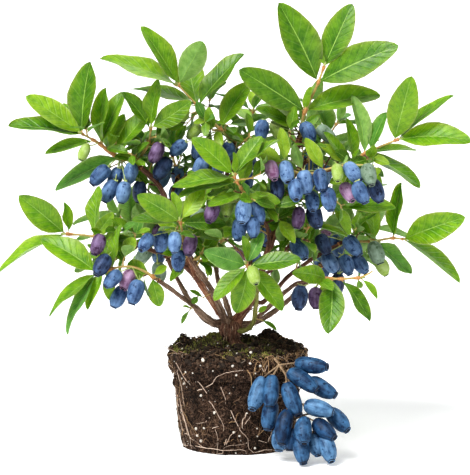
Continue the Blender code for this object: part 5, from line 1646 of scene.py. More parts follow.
def ball_roots(random):
    """Roots seen on the front, then others of the same kind by rule all round the wall."""
    heap = Heap()
    for stops in SEEN_ROOTS:
        points = np.array([on_wall(*stop) for stop in stops])
        outward = points * (1, 1, 0) / np.linalg.norm(points[:, :2], axis=1)[:, None]
        root_thread(heap, points + outward * 1.6, 0.33, 0, random)
    for _ in range(ROOT_COUNT):
        turn, height = random.uniform(0, 2 * math.pi), random.uniform(3, 68)
        heading = random.choice((-1, 1)) * random.uniform(0.15, 1.0)
        points = []
        fall = random.uniform(-1.0, 0.35)
        for _ in range(int(random.integers(3, 7))):
            points.append(wall_point(turn, height, random.uniform(-0.3, 1.1)))
            turn += heading * random.uniform(2, 7) / 46
            height = float(np.clip(height + fall * random.uniform(3, 9), 1.0, 70))
            heading += random.normal(0, 0.25)
            fall += random.normal(0, 0.3)
        width = random.uniform(0.14, 0.40) if random.random() < 0.85 else random.uniform(0.4, 0.55)
        root_thread(heap, np.array(points), width, choose(random, (0.22, 0.58, 0.20)), random, 4)
    for number in range(44):
        turn = random.uniform(2.75, 3.65) if number % 4 else random.uniform(0, 2 * math.pi)
        high, low = random.uniform(20, 60), random.uniform(0.5, 18)
        drift = random.normal(0, 0.08)
        levels = np.linspace(high, low, 6)
        points = [wall_point(turn + drift * k, level, random.uniform(0.2, 1.3)) for k, level in enumerate(levels)]
        root_thread(heap, np.array(points), random.uniform(0.10, 0.24), choose(random, (0.2, 0.5, 0.3)), random, 4)
    for _ in range(RING_ROOTS):
        turn, span = random.uniform(0, 2 * math.pi), random.uniform(0.3, 1.1)
        points = [
            wall_point(turn + span * k / 6, abs(random.normal(1.4, 0.9)) + 0.5, random.uniform(0.2, 0.8))
            for k in range(7)
        ]
        root_thread(heap, np.array(points), random.uniform(0.22, 0.45), int(random.random() < 0.5), random, 4)
    lying = np.array(((10.9, 14.0), (13.5, 3.0), (16.0, -9.0), (19.9, -22.0)))
    points = np.column_stack((lying, ground(lying[:, 0], lying[:, 1]) + 0.9))
    root_thread(heap, points, 1.05, 1, random)
    for _ in range(MAT_ROOTS):
        turn = random.uniform(-1.25, -0.05)
        points = []
        for _ in range(4):
            reach, height = random.uniform(48.5, 53.2), random.uniform(60, 75.5)
            points.append((reach * math.cos(turn), reach * math.sin(turn), height))
            turn += random.normal(0, 0.07)
        root_thread(heap, np.array(points), random.uniform(0.16, 0.34), choose(random, (0.15, 0.20, 0.65)), random, 4)
    return heap


ROOT_MATERIALS = (ROOT_PALE, ROOT_BROWN, ROOT_TAN)
ROOT_COUNT = 150
RING_ROOTS = 14
MAT_ROOTS = 120


def ball_grit(random):
    """White grains pressed into the wall and the soil, those on the front where they are seen."""
    heap = Heap()
    for x, height, radius in SEEN_GRIT:
        middle = on_wall(x, height)
        outward = middle * (1, 1, 0) / np.linalg.norm(middle[:2])
        size = radius * random.uniform(0.8, 1.05, 3)
        ellipsoid(heap, middle + outward * 0.5, size, random_turn(random), 0, int(random.integers(1000)))
    for number in range(170):
        turn, height = random.uniform(0.1, math.pi - 0.1), random.uniform(2, 70)
        radius = 0.25 + 0.28 * random.gamma(1.4)
        if number % 3 == 0:
            turn, radius = -turn, random.uniform(0.28, 0.50)
        size = min(radius, 1.3) * random.uniform(0.75, 1.1, 3)
        ellipsoid(heap, wall_point(turn, height, 0.4), size, random_turn(random), 0, int(random.integers(1000)))
    for _ in range(60):
        turn, reach = random.uniform(0, 2 * math.pi), 48 * math.sqrt(random.uniform(0.06, 1))
        x, y = reach * math.cos(turn), reach * math.sin(turn)
        size = random.uniform(0.35, 1.0) * random.uniform(0.75, 1.1, 3)
        place = np.array((x, y, float(ground(np.array(x), np.array(y))) + 0.8))
        ellipsoid(heap, place, size, random_turn(random), 0, int(random.integers(1000)))
    return heap


def ball_crumbs(random):
    """Crumbs of peat and bark: on the soil, thick along the rim, and some on the wall."""
    heap = Heap()
    for number in range(CRUMB_COUNT):
        kind = random.random()
        if kind < 0.42:
            turn, reach = random.uniform(0, 2 * math.pi), 49.5 * math.sqrt(random.uniform(0.05, 1))
            x, y = reach * math.cos(turn), reach * math.sin(turn)
            place = np.array((x, y, float(ground(np.array(x), np.array(y))) + random.uniform(0.2, 1.2)))
            radius = 0.5 + 0.5 * random.gamma(1.6)
        elif kind < 0.68:
            turn = random.uniform(0, 2 * math.pi)
            place = wall_point(turn, random.uniform(67, 73.5), random.uniform(-2.5, 0.2)) + (0, 0, random.uniform(-0.5, 1.5))
            radius = 0.5 + 0.5 * random.gamma(1.8)
        else:
            turn = random.uniform(0, 2 * math.pi)
            place = wall_point(turn, random.uniform(1.5, 68), random.uniform(0.0, 0.8))
            radius = 0.35 + 0.2 * random.gamma(1.4)
        radius = min(radius, 2.4)
        size = radius * random.uniform(0.55, 1.25, 3)
        tone = int(random.random() < 0.30)
        ellipsoid(heap, place, size, random_turn(random), tone, number, rough=0.5)
    for x, y, radius, rise in CLODS:
        for number in range(int(radius * 2.4)):
            turn, reach = random.uniform(0, 2 * math.pi), radius * 0.75 * math.sqrt(random.uniform(0, 1))
            px, py = x + reach * math.cos(turn), y + reach * math.sin(turn)
            if math.hypot(px, py) > 49:
                continue
            place = np.array((px, py, float(ground(np.array(px), np.array(py))) + 0.6))
            size = random.uniform(0.8, 2.0) * random.uniform(0.6, 1.2, 3)
            ellipsoid(heap, place, size, random_turn(random), int(random.random() < 0.2), number, rough=0.5)
    return heap


CRUMB_COUNT = 1500


def ball_fibres(random):
    """Fine hairs and bits of straw on the soil and round the rim, some that stick out."""
    heap = Heap()
    for number in range(FIBRE_COUNT):
        turn = random.uniform(0, 2 * math.pi)
        reach = 50.5 * math.sqrt(random.uniform(0.12, 1.0)) if number % 3 else random.uniform(47, 51)
        x, y = reach * math.cos(turn), reach * math.sin(turn)
        start = np.array((x, y, float(ground(np.array(x), np.array(y))) + 0.3))
        flat = random.uniform(0, 2 * math.pi)
        length = random.uniform(3, 13)
        lift = random.uniform(-0.05, 0.35) if number % 9 else random.uniform(0.3, 0.9)
        way = unit(np.array((math.cos(flat), math.sin(flat), lift)))
        if number % 9 == 0:
            way = unit(np.array((math.cos(turn), math.sin(turn), lift)))
        bend = random.normal(0, 0.18, 3) * length
        points = np.array((start, start + way * length * 0.5 + bend * 0.5, start + way * length - (0, 0, 0.02 * length**2)))
        root_thread(heap, points, random.uniform(0.10, 0.26), choose(random, (0.2, 0.5, 0.3)), random, 4)
    for number in range(WALL_HAIRS):
        turn, height = random.uniform(0, 2 * math.pi), random.uniform(4, 70)
        if number % 3 == 0:
            turn, height = random.uniform(2.8, 3.6), random.uniform(40, 74)
        start = wall_point(turn, height, -0.2)
        way = unit(np.array((math.cos(turn), math.sin(turn), random.normal(0, 0.8))) + random.normal(0, 0.7, 3))
        length = random.uniform(1.5, 4.5)
        points = np.array((start, start + way * length * 0.5, start + way * length + random.normal(0, 0.5, 3)))
        root_thread(heap, points, random.uniform(0.08, 0.16), choose(random, (0.2, 0.4, 0.4)), random, 3)
    return heap


FIBRE_COUNT = 260
WALL_HAIRS = 180


def moss_patch(heap, random, middle, spread, count, height, tone):
    """Tuft of many small pointed blades that stand out from the soil round a middle."""
    for _ in range(count):
        x, y = middle + random.normal(0, spread, 2)
        if math.hypot(x, y) > 50.5 or math.hypot(x - FOOT[0], y - FOOT[1]) < FLARE_RADIUS - 1:
            continue
        start = np.array((x, y, float(ground(np.array(x), np.array(y))) + 0.2))
        way = unit(random.normal(0, 0.8, 3) + (0, 0, 0.75))
        length = height * random.uniform(0.6, 1.6)
        path = np.array((start, start + way * length * 0.6, start + way * length + random.normal(0, 0.4, 3)))
        grid, _ = fine_tube(path, (0.34, 0.30, 0.05), 4, random.uniform(0, 1))
        heap.add(capped(grid), tone if random.random() < 0.8 else 1 - tone, wrap=True)


def ball_moss(random):
    """Moss at the trunk's foot and in streaks to the left and right front, as in the photo."""
    heap = Heap()
    for x, y, spread, count, height, tone in MOSS:
        moss_patch(heap, random, np.array((x, y)), np.array(spread), count, height, tone)
    for _ in range(16):
        turn, reach = random.uniform(0, 2 * math.pi), random.uniform(14, 46)
        middle = np.array((reach * math.cos(turn), reach * math.sin(turn)))
        moss_patch(heap, random, middle, random.uniform(1.5, 4.0, 2), 46, 1.5, int(random.random() < 0.5))
    return heap


# Moss patches: x, y, spread, blades, height and tone
MOSS = (
    (-20.0, -6.0, (7.0, 4.5), 420, 2.6, 1),
    (-17.0, 0.0, (5.5, 4.5), 420, 2.8, 0),
    (-33.0, -16.0, (6.0, 6.0), 180, 1.8, 1),
    (5.0, -31.0, (4.0, 3.5), 260, 2.0, 0),
    (18.0, -43.0, (5.5, 3.0), 260, 1.8, 0),
    (4.0, 12.0, (9.0, 6.0), 200, 2.2, 1),
    (20.0, 0.0, (8.0, 6.0), 140, 2.0, 1),
    (-44.0, -12.0, (2.5, 5.0), 110, 2.0, 0),
)


# Trunk and boughs


def trunk_surface(heap, random, knot_paths):
    """Turned trunk from its flare to the knot's top, over the same rings as the solid, with
    ridges that run up it: radius * (1 + 0.16 n) for a noise n drawn out upward, and a flute
    that swells under each bough, 0.22 of the radius from hollow to rib."""
    foot_height = SOIL_TOP
    neck_height = KNOT[2] - math.sqrt(KNOT_RADIUS**2 - NECK_RADIUS**2)
    stops = [(foot_height - 1.5, FLARE_RADIUS * 1.12), (foot_height + 0.4, FLARE_RADIUS)]
    stops.append((foot_height + FLARE_HEIGHT / 3, FLARE_RADIUS * 0.80))
    stops.append((neck_height - 0.8, NECK_RADIUS))
    for latitude in range(-40, 90, 13):
        lift = math.radians(latitude)
        stops.append((KNOT[2] + KNOT_RADIUS * math.sin(lift), KNOT_RADIUS * math.cos(lift)))
    stops.append((KNOT[2] + KNOT_RADIUS, 0.3))
    stops = smooth_path(np.array(stops), 70)
    turns = np.arange(TRUNK_TURNS) * 2 * math.pi / TRUNK_TURNS
    height, radius = stops[:, 0], np.maximum(stops[:, 1], 0.0)
    lean = np.clip((height - foot_height) / (neck_height - foot_height), 0, 1)
    middle = FOOT[0] + (KNOT[0] - FOOT[0]) * lean
    lobes = np.clip(1 - (height - foot_height) / 5.0, 0, 1)
    reach = radius[:, None] * (1 + 0.16 * lobes[:, None] * np.cos(5 * turns + 0.8))
    up = np.clip((height - foot_height) / (KNOT[2] - foot_height), 0, 1)
    fluted = np.zeros(TRUNK_TURNS)
    for path, _ in knot_paths:
        leaving = path[1] - KNOT
        away = (turns - math.atan2(leaving[1], leaving[0]) + math.pi) % (2 * math.pi) - math.pi
        fluted = np.maximum(fluted, np.exp(-((away / 0.26) ** 2)))
    reach = reach * (1 + 0.22 * np.clip((up - 0.25) / 0.5, 0, 1)[:, None] * (fluted - 0.5))
    sample = np.empty((len(stops), TRUNK_TURNS, 3))
    sample[..., 0] = np.cos(turns) * 7.0
    sample[..., 1] = np.sin(turns) * 7.0
    sample[..., 2] = (height / 4.0)[:, None]
    ridges = 0.13 * crumbly(sample, 2.6, 21, 3) + 0.06 * crumbly(sample * (1, 1, 3.0), 5.0, 33, 2)
    reach = reach * (1 + ridges)
    grid = np.stack(
        (middle[:, None] + reach * np.cos(turns), reach * np.sin(turns), np.broadcast_to(height[:, None], reach.shape)),
        axis=-1,
    )
    chart = np.empty((*grid.shape[:2], 2))
    chart[..., 0] = turns * 3 / (2 * math.pi)
    chart[..., 1] = (height / 10.0)[:, None]
    closed = capped(grid)
    chart = np.concatenate((chart[:1], chart, chart[-1:]))
    heap.add(closed, 0, wrap=True, chart=chart)
    for _ in range(TRUNK_FLAKES):
        turn, height = random.uniform(0, 2 * math.pi), random.uniform(foot_height + 1, KNOT[2] + 5)
        radius = float(np.interp(height, stops[:, 0], stops[:, 1]))
        outward = np.array((math.cos(turn), math.sin(turn), 0.0))
        point = np.array((KNOT[0] * 0.8 + FOOT[0] * 0.2, 0.0, height)) + outward * (radius * 1.02)
        along = unit(np.array((0.0, 0.0, random.choice((-1.0, 1.0)))) + random.normal(0, 0.25, 3))
        tone = 1 + int(random.random() < 0.4)
        flake(heap, point, along, outward, random.uniform(3, 9), random.uniform(0.6, 1.4), random.uniform(0.2, 1.0),
              tone, random.normal(0, 0.5))


TRUNK_TURNS = 84
TRUNK_FLAKES = 60


def forked_path(carrier, share, path):
    """Centre line of a limb that forks off its carrier: it starts inside it, a little lower
    down, and a curve with one control point on the carrier's direction leads into the limb."""
    length = np.linalg.norm(np.diff(carrier, axis=0), axis=1).sum()
    start, along = point_on(carrier, share - FORK_BELOW / length)
    later = path[np.linalg.norm(path - path[0], axis=1) > FORK_LENGTH]
    control = start + along * 0.5 * np.linalg.norm(later[0] - start)
    t = np.array((0.0, 0.25, 0.5, 0.75))[:, None]
    return np.vstack((start * (1 - t) ** 2 + control * 2 * t * (1 - t) + later[0] * t**2, later))


FORK_BELOW, FORK_LENGTH = 4.0, 6.0


def limb_piece(name, number, paths, random):
    """One bough: its surface, sunk into what carries it, swollen where it leaves, with flakes."""
    path, radii = paths[name]
    heap = Heap()
    from_knot = "leaves_knot" in BOUGHS[name]
    tip = path[-1] + unit(path[-1] - path[-2]) * 1.0
    if from_knot:
        inner = path[0] - unit(path[1] - path[0]) * KNOT_SINK
        whole = np.vstack((inner, path, tip))
    else:
        carrier, share = BOUGHS[name]["on"]
        whole = np.vstack((forked_path(paths[carrier][0], share, path), tip))
    stout = from_knot and radii[0] > STOUT
    flare = (1.5, 1.32, 1.12) if stout else (1.28, 1.15, 1.05)
    spread = np.linspace(radii[0], radii[-1], len(whole))
    spread[:3] = spread[:3] * flare
    tone = LIMB_TONES.get(name, 0 if from_knot else 1)
    limb_surface(heap, whole, spread, LIMB_COLUMNS, tone, 40 + number)
    length = np.linalg.norm(np.diff(path, axis=0), axis=1).sum()
    for _ in range(int(length * (0.34 if from_knot else 0.12))):
        share = random.uniform(0.0, 0.8) ** 1.5
        point, along = point_on(path, share)
        outward = square_to(random.normal(0, 1, 3), along)
        radius = float(np.interp(share, (0, 1), radii[[0, -1]]))
        if random.random() < 0.5:
            along = -along
        flake(heap, point + outward * radius, along, outward, random.uniform(3, 10), random.uniform(0.45, 1.0),
              random.uniform(0.1, 0.8), 4 if random.random() < 0.4 else tone, random.normal(0, 0.4))
    barks = (BARK_OLD, BARK_YOUNG, BARK_RED, BARK_GREEN, BARK_PEEL)
    heap.finish(name + "_bark", barks, (name,), "bark")


LIMB_COLUMNS = 18
STOUT, KNOT_SINK = 2.4, 6.0
LIMB_TONES = {"leader": 2, "bough_high_left": 2, "bough_front": 3}  # the others are old or young bark

# Sprays


def choose(random, shares):
    """Number of the share that a random draw between 0 and 1 falls into."""
    return int(np.searchsorted(np.cumsum(shares) / np.sum(shares), random.random()))


def spray_piece(name, number, spray, paths, taken):
    """The shoots, the leaves and the berries of one spray, each kind joined into a piece.
    Returns the shoots' paths and the middles of the berries."""
    shoots, berries, leaves = grow_spray(name, number, spray, paths, taken)
    random = np.random.default_rng((SEED, 500 + number))
    bough_path, bough_radii = paths[spray["bough"]]
    tip = bough_path[-1]
    wood, green, fruit = Heap(), Heap(), Heap()
    for index, path in enumerate(shoots):
        main = "from" not in spray["shoots"][index]
        whole = path
        start = TWIG_RADIUS * 0.85
        if main:
            whole = np.vstack((tip - unit(path[0] - tip), path))
            start = bough_radii[-1] * 0.97
        knots = [0.04] if main else [0.02]
        knots.extend(place_along(whole, root) for root, *_ in leaves)
        knots.append(1.0)
        knots = [knot for knot in knots if knot is not None]
        shoot_surface(wood, whole, start, SHOOT_TIP, knots, 0, 1)
        heading = unit(path[-1] - path[-2])
        ellipsoid(wood, path[-1] + heading * 1.6, (0.95, 0.95, 2.4), turn_to(heading), 2, index, rough=0.1)
        if main:
            for number in range(7):
                way = square_to(random.normal(0, 1, 3), heading)
                place = tip + way * start * 1.1 + unit(path[0] - tip) * random.uniform(-2, 3)
                ellipsoid(wood, place, (0.5, 1.1, 1.9), turn_to(unit(way + 1.5 * heading)), 3, number, 5, 6)
    for root, direction, normal, length, width in leaves:
        shares = YOUNG_SHARES if length < 32 else SPRAY_SHARES.get(name, LEAF_SHARES)
        tones = (choose(random, shares), LEAF_BACK_AT, MIDRIB_AT, FOOT_AT)
        leaf_surface(green, root, direction, normal, length, width, tones, random)
    colours = RIPE.get(name, "")
    for index, (knot, top, axis, length, radius) in enumerate(berries):
        letter = colours[index] if index < len(colours) else ""
        tone = RIPE_LETTERS.index(letter) if letter else choose(random, RIPENESS)
        top, axis = lean_out(top, axis, length, random.uniform(*BERRY_LEANS))
        if tone == UNRIPE:
            length, radius = length * 0.85, radius * 0.85
        berry_surface(fruit, top, axis, length, radius, tone, BERRY_SCAR_AT, random, random.normal(0, 0.06))
        stalk_surface(fruit, knot, top + axis * length * 0.05, 0.42, BERRY_STALK_AT, random.uniform(-1, 1.2))
        cap = top + axis * length * 0.01
        ellipsoid(fruit, cap, (1.5, 1.5, 0.9), turn_to(axis), BERRY_STALK_AT, index, rough=0.1)
        for _ in range(2):
            way = unit(random.normal(0, 1, 3) - axis * 0.4)
            ellipsoid(fruit, cap + way * 1.9, (0.35, 0.9, 2.1), turn_to(way), BERRY_STALK_AT, index, 5, 5, 0.1)
    wood.finish(name + "_shoots", (SHOOT_TAN, SHOOT_JOINT, STALK_GREEN, BARK_YOUNG), (name,), "bark")
    green.finish(name + "_leaves", LEAF_MATERIALS, (name,), "leafage", sharp=75.0)
    if berries:
        fruit.finish(name + "_berries", (*BERRY_TONES, BERRY_SCAR, STALK_GREEN), (name,), "fruit", sharp=75.0)
    return shoots, [top + axis * length / 2 for _, top, axis, length, _ in berries]


def lean_out(top, axis, length, lean):
    """Berry turned outward from the middle of the plant, about a place 45 % of its way down,
    the more to the front the nearer to the front it hangs."""
    pivot = top + axis * length * 0.45
    turned = unit(axis + lean * unit(pivot * (0.5, 1.0, 0.0) - (0.0, 12.0, 0.0)))
    return pivot - turned * length * 0.45, turned


SHOOT_TIP = 0.65
LEAF_MATERIALS = (*LEAF_TONES, LEAF_BACK, MIDRIB, LEAF_FOOT)
LEAF_BACK_AT, MIDRIB_AT, FOOT_AT = 5, 6, 7
# Shares of the leaves in each tone: mid, fresh, deep, yellow and blue-green
LEAF_SHARES = (0.56, 0.09, 0.26, 0.0, 0.09)
BRIGHT_SHARES = (0.56, 0.19, 0.15, 0.02, 0.08)
# Painted shade: sprays that lie in shade are dealt mostly deep-green leaves in place of the usual mix.
SHADED_SPRAY_SHARES = (0.42, 0.0, 0.53, 0.0, 0.05)
SPRAY_SHARES = {
    "spray_left": BRIGHT_SHARES, "spray_low_left": BRIGHT_SHARES, "spray_upper_left": BRIGHT_SHARES,
    "spray_inner_left": BRIGHT_SHARES, "spray_upper_back_left": BRIGHT_SHARES,
    "spray_front_low": SHADED_SPRAY_SHARES, "spray_low_right": SHADED_SPRAY_SHARES, "spray_top": SHADED_SPRAY_SHARES,
}
YOUNG_SHARES = (0.26, 0.38, 0.05, 0.25, 0.06)
BERRY_SCAR_AT, BERRY_STALK_AT = 7, 8
BERRY_LEANS = (0.20, 0.80)
UNRIPE = 5


def turn_to(axis):
    """Rotation whose third axis is the given one."""
    side = square_to(ACROSS if abs(axis[0]) < 0.8 else UPWARD, axis)
    return np.column_stack((side, np.cross(axis, side), axis))


def place_along(path, point):
    """Share of a path that lies nearest a point, or none when the point is off it."""
    steps = np.linspace(0, 1, 81)
    samples = np.array([point_on(path, share)[0] for share in steps])
    away = np.linalg.norm(samples - point, axis=1)
    return float(steps[np.argmin(away)]) if away.min() < 1.5 else None


# Ripeness of the berries on each spray, in the order that they are hung: blue, light blue,
# navy, purple, rose, green and turning by their first letters. Sprays not named draw theirs.
RIPE_LETTERS = "blnprgt"
RIPE = {
    "spray_top": "bgbt",
    "spray_upper_left": "bblblngpn",
    "spray_top_left": "ggblnblb",
    "spray_front_right": "lbbbgltrbnrlnbpn",
    "spray_right": "nbblbbtg",
    "spray_low_right": "np",
    "spray_front_low": "g",
    "spray_front_middle": "pglbbb",
    "spray_front_left": "bblpb",
    "spray_low_left": "pnbrbb",
}


def bunch_piece(random):
    """Picked bunch: the same berries and stem as the solid, moved to where it was packed."""
    stem = smooth_path([seen(*place) for place in BUNCH_STEM], BUNCH_STEPS)
    solids = [tube(stem, np.linspace(1.5, 1.0, len(stem)), TWIG_SIDES)[0]]
    above = stem - (0.0, 0.0, 4.0)
    rows = []
    for x, height, depth, angle, tilt, length in BUNCH:
        top = seen(x, height, depth)
        seat = stem[np.argmin(np.linalg.norm(above - top, axis=1))]
        axis = view_direction(angle, tilt)
        solids.append(barrel(top, axis, length, BUNCH_RADIUS, BUNCH_SIDES, BUNCH_RINGS)[0])
        solids.append(berry_stalk(seat, top, axis, length)[0])
        rows.append((seat, top, axis, length))
    low = np.vstack(solids).min(axis=0)
    shift = np.array(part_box("berry_bunch")[0]) / METRES - low
    heap = Heap()
    grid, _ = fine_tube(smooth_path(stem + shift, 30), np.linspace(0.95, 0.7, 31), 8)
    heap.add(capped(grid), 4, wrap=True)
    for seat, top, axis, length in rows:
        tone = choose(random, BUNCH_SHARES)
        bend = random.normal(0, 0.10)
        pivot = top + shift + axis * length * 0.45
        axis = unit(axis + TOWARD * random.uniform(*BUNCH_LEANS))
        top = pivot - axis * length * 0.45
        berry_surface(heap, top, axis, length, BUNCH_RADIUS * 1.01, tone, 3, random, bend)
        stalk_surface(heap, seat + shift, top + axis * 1.2, 0.62, 4, 0.0)
        ellipsoid(heap, top + axis * 0.3, (1.7, 1.7, 1.0), turn_to(axis), 4, 7, rough=0.1)
    heap.finish("berry_bunch_fruit", (*BUNCH_TONES, BERRY_SCAR, STALK_TAN), ("berry_bunch",), "fruit", sharp=75.0)


BUNCH_SHARES = (0.55, 0.27, 0.18)
BUNCH_LEANS = (0.10, 0.50)

# Small twigs and sprouts, too slight to be solids


def nearest_place(wood_paths, x, height):
    """Place on the wood that lies nearest to x and a height of the view, the nearer ones first."""
    best, chosen = None, None
    for path in wood_paths:
        for share in np.linspace(0.05, 1, 40):
            point = point_on(path, share)[0]
            away = math.hypot(point[0] - x, point[2] + VIEW_SLOPE * point[1] - height) + 0.2 * point[1]
            if best is None or away < best:
                best, chosen = away, point
    return chosen


def hides_berry(place, berries):
    """Whether a place lies before a berry, as seen from the front."""
    off = berries - place
    aside = np.hypot(off[:, 0], off @ UPWARD)
    return bool(np.any((aside < 9.0) & (off[:, 1] > -1.0)))


def leafy_twig(wood, green, taken, berries, start, end, sizes, random):
    """Twig with pairs of small leaves near its end, and its room used up. Returns whether
    there was room for it."""
    if np.linalg.norm(end - start) < 2.5:
        return False
    heading = unit(end - start)
    clear = start + heading * INNER_CLEAR
    test = tube(np.array((clear, end)), (0.5, 0.4), TWIG_SIDES)
    if taken.touched(test, "inner_twigs") != (False, False) or hides_berry(end, berries):
        return False
    taken.add("inner_twigs", test)
    bow = random.normal(0, 0.08, 3) * np.linalg.norm(end - start)
    path = smooth_path([start, (start + end) / 2 + bow, end], 6)
    grid, _ = fine_tube(path, np.linspace(0.75, 0.45, len(path)), 5)
    wood.add(capped(grid), int(random.random() < 0.3), wrap=True)
    roll = random.uniform(0, math.pi)
    for share in (1.0, random.uniform(0.45, 0.75)):
        root, along = point_on(path, share)
        opening = math.radians(random.uniform(30, 75))
        for base in range(2):
            length = random.uniform(*sizes)
            tries = [pair_directions(along, roll + turn, opening, length)[base] for turn in (0.0, 0.7, -0.7)]
            tries = [frame for frame in tries if not hides_berry(root + frame[0] * frame[2] * 0.7, berries)]
            placed = place_leaf(taken, "inner_twigs", root, tries, length * INNER_SHARE)
            if placed:
                tones = (choose(random, INNER_TONES), LEAF_BACK_AT, MIDRIB_AT, FOOT_AT)
                leaf_surface(green, root, *placed, length * INNER_SHARE, tones, random, small=True)
        roll += math.pi / 2
    return True


def inner_twigs(paths, shoots, berries, taken):
    """Short leafy twigs all along the upper part of each bough and the first half of each
    shoot, and from the nearest bough to each place listed, where the photo shows leaves close
    to the wood."""
    random = np.random.default_rng((SEED, 902))
    wood, green = Heap(), Heap()
    carriers = [path for path, _ in paths.values()] + shoots
    for x, height in INNER_PLACES:
        start = nearest_place(carriers, x, height)
        for _ in range(8):
            end = seen(x, height, start[1]) + random.normal(0, 2.5, 3)
            if leafy_twig(wood, green, taken, berries, start, end, (15, 23), random):
                break
    wood.finish("seen_twigs_wood", (SHOOT_TAN, BARK_YOUNG), (), "bark")
    green.finish("seen_twigs_leaves", LEAF_MATERIALS, (), "leafage", sharp=75.0)
    wood, green = Heap(), Heap()
    for name, (path, radii) in paths.items():
        length = np.linalg.norm(np.diff(path, axis=0), axis=1).sum()
        first = 0.46 if "leaves_knot" in BOUGHS[name] else 0.25
        for share in np.arange(first, 0.99, INNER_STEP / length):
            point, along = point_on(path, share + random.uniform(-0.02, 0.0))
            outward = square_to(random.normal(0, 1, 3), along)
            way = unit(outward + along * random.uniform(0.2, 0.9) + UPWARD * 0.3)
            end = point + way * random.uniform(7, 24)
            if end @ UPWARD > TWIGS_ABOVE:
                leafy_twig(wood, green, taken, berries, point, end, (12, 24), random)
    wood.finish("inner_twigs_wood", (SHOOT_TAN, BARK_YOUNG), (), "bark")
    green.finish("inner_twigs_leaves", LEAF_MATERIALS, (), "leafage", sharp=75.0)
    wood, green = Heap(), Heap()
    for path in shoots:
        length = np.linalg.norm(np.diff(path, axis=0), axis=1).sum()
        for share in np.arange(0.04, 0.55, SHOOT_STEP / length):
            point, along = point_on(path, share)
            outward = square_to(random.normal(0, 1, 3), along)
            way = unit(outward + along * random.uniform(0.0, 0.8))
            leafy_twig(wood, green, taken, berries, point, point + way * random.uniform(6, 18), (11, 22), random)
    wood.finish("outer_twigs_wood", (SHOOT_TAN, BARK_YOUNG), (), "bark")
    green.finish("outer_twigs_leaves", LEAF_MATERIALS, (), "leafage", sharp=75.0)


INNER_STEP, SHOOT_STEP, INNER_CLEAR, INNER_SHARE = 3.0, 5.0, 3.6, 0.46
TWIGS_ABOVE = 138.0  # lower than this, as seen, the wood is bare
INNER_TONES = (0.42, 0.14, 0.32, 0.06, 0.06)
INNER_PLACES = (
    (40, 168), (43, 154), (35, 158), (17, 212), (12, 205), (-64, 227), (-60, 232), (-31, 252),
    (-17, 176), (-10, 157), (-85, 147), (-72, 145), (90, 137), (97, 134), (-76, 229), (-68, 128),
    (105, 145), (-37, 213), (94, 204), (-36, 246), (-111, 236), (-16, 211), (20, 220), (54, 166),
)


def foot_sprouts(paths):
    """Single leaves near the trunk's foot, on thin stalks from the nearest bough."""
    random = np.random.default_rng((SEED, 902))
    green = Heap()
    for x, height, tip_x, tip_height, width, tone in SPROUTS:
        start = nearest_place([path for path, _ in paths.values()], x, height)
        root = seen(x, height, start[1] - 2)
        tip = seen(tip_x, tip_height, start[1] - random.uniform(3, 7))
        direction = unit(tip - root)
        normal = square_to(unit(TOWARD * 0.7 + SKY + random.normal(0, 0.3, 3)), direction)
        if np.linalg.norm(start - root) > 1.5:
            stalk_surface(green, start, root + direction * 0.8, 0.45, FOOT_AT)
        tones = (tone, LEAF_BACK_AT, MIDRIB_AT, FOOT_AT)
        leaf_surface(green, root, direction, normal, np.linalg.norm(tip - root), width, tones, random, small=True)
    green.finish("foot_sprouts", LEAF_MATERIALS, (), "leafage", sharp=75.0)


# Sprouts seen at the foot: root and tip as x and height of the view, width, leaf tone
SPROUTS = (
    (-35, 104, -43, 93.6, 4.5, 2), (-34, 104, -40, 107, 4.0, 1), (16.9, 95.9, 29.6, 89.9, 5.5, 0),
    (-25, 112, -34, 119, 6.0, 0), (-29, 114, -34, 108, 5.0, 2), (-22, 126, -22, 139, 4.5, 3),
    (14, 101, 21, 106, 4.5, 1),
)


def build():
    ball = root_ball_solid()
    trunk = trunk_solid()
    taken = Taken()
    taken.add("root_ball", ball)
    taken.add("trunk", trunk)
    paths = bough_paths()
    for name, (path, radii) in paths.items():
        taken.add(name, tube(path, radii, LIMB_SIDES))
    random = np.random.default_rng(SEED)
    soil = Heap()
    ball_surface(soil)
    soil.finish("root_ball_soil", (SOIL,), ("root_ball",), "soil", sharp=180.0)
    ball_crumbs(random).finish("root_ball_crumbs", (CRUMB_DARK, CRUMB_BROWN), (), "soil")
    ball_grit(random).finish("root_ball_grit", (GRIT,), (), "soil")
    ball_roots(random).finish("root_ball_roots", ROOT_MATERIALS, (), "soil", sharp=80.0)
    ball_fibres(random).finish("root_ball_fibres", ROOT_MATERIALS, (), "soil", sharp=80.0)
    ball_moss(random).finish("root_ball_moss", (MOSS_BRIGHT, MOSS_DARK), (), "leafage", sharp=80.0)
    wood = Heap()
    trunk_surface(wood, random, [paths[name] for name in BOUGHS if "leaves_knot" in BOUGHS[name]])
    wood.finish("trunk_bark", (BARK_FOOT, BARK_OLD, BARK_PEEL), ("trunk",), "bark")
    for number, name in enumerate(BOUGHS):
        limb_piece(name, number, paths, random)
    shoots, berries = [], []
    for number, (name, spray) in enumerate(SPRAYS.items()):
        new_shoots, new_berries = spray_piece(name, number, spray, paths, taken)
        shoots.extend(new_shoots)
        berries.extend(new_berries)
    bunch_piece(random)
    inner_twigs(paths, shoots, np.array(berries), taken)
    foot_sprouts(paths)


build()

# Floor, camera and light


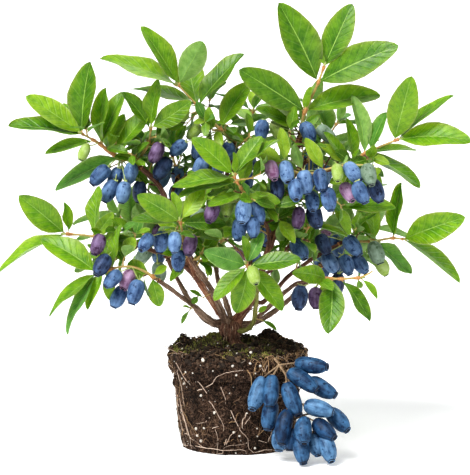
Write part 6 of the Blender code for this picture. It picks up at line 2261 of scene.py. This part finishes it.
def studio_floor():
    mesh = bpy.data.meshes.new("studio_floor")
    half = 12.0
    mesh.from_pydata([(-half, -half, 0), (half, -half, 0), (half, half, 0), (-half, half, 0)], [], [(0, 1, 2, 3)])
    floor = bpy.data.objects.new("studio_floor", mesh)
    bpy.context.scene.collection.objects.link(floor)
    material, _, shader = start_material("studio_white", 0.6)
    shader.inputs["Base Color"].default_value = (0.95, 0.95, 0.95, 1.0)
    shader.inputs["Emission Color"].default_value = (1.0, 1.0, 1.0, 1.0)
    shader.inputs["Emission Strength"].default_value = 0.20
    mesh.materials.append(material)


def area_light(name, place, size, power):
    """Square soft light of a power in watts that faces the plant."""
    light = bpy.data.lights.new(name, "AREA")
    light.size = size
    light.energy = power
    item = bpy.data.objects.new(name, light)
    item.location = place
    item.rotation_euler = (Vector(TARGET) - Vector(place)).to_track_quat("-Z", "Y").to_euler()
    bpy.context.scene.collection.objects.link(item)


TARGET = (-0.0019, 0.0, 0.1577)
ELEVATION = math.radians(7.8)
DISTANCE = 2.5

def sun_light(name, turn, height, spread, power):
    """Broad even light from a compass turn and a height in degrees, both round the plant."""
    light = bpy.data.lights.new(name, "SUN")
    light.angle = math.radians(spread)
    light.energy = power
    item = bpy.data.objects.new(name, light)
    item.rotation_euler = (math.radians(90 - height), 0.0, math.radians(turn))
    bpy.context.scene.collection.objects.link(item)


studio_floor()
sun_light("key_light", -38.0, 52.0, 32.0, 3.65)
sun_light("back_light", 150.0, 40.0, 40.0, 0.7)
area_light("fill_light", (1.6, -1.4, 1.2), 1.4, 4.0)

world = bpy.data.worlds.new("studio_air")
world.use_nodes = True
world.node_tree.nodes["Background"].inputs["Color"].default_value = (0.97, 0.985, 1.0, 1.0)
world.node_tree.nodes["Background"].inputs["Strength"].default_value = 0.38
bpy.context.scene.world = world
bpy.context.scene.view_settings.view_transform = "Standard"
bpy.context.scene.view_settings.look = "Medium High Contrast"

lens = bpy.data.cameras.new("camera")
lens.sensor_width = 36.0
lens.lens = 252.6
lens.clip_end = 60.0
camera = bpy.data.objects.new("camera", lens)
back = Vector((0.0, -math.cos(ELEVATION), math.sin(ELEVATION)))
camera.location = Vector(TARGET) + back * DISTANCE
camera.rotation_euler = (-back).to_track_quat("-Z", "Y").to_euler()
bpy.context.scene.collection.objects.link(camera)
bpy.context.scene.camera = camera
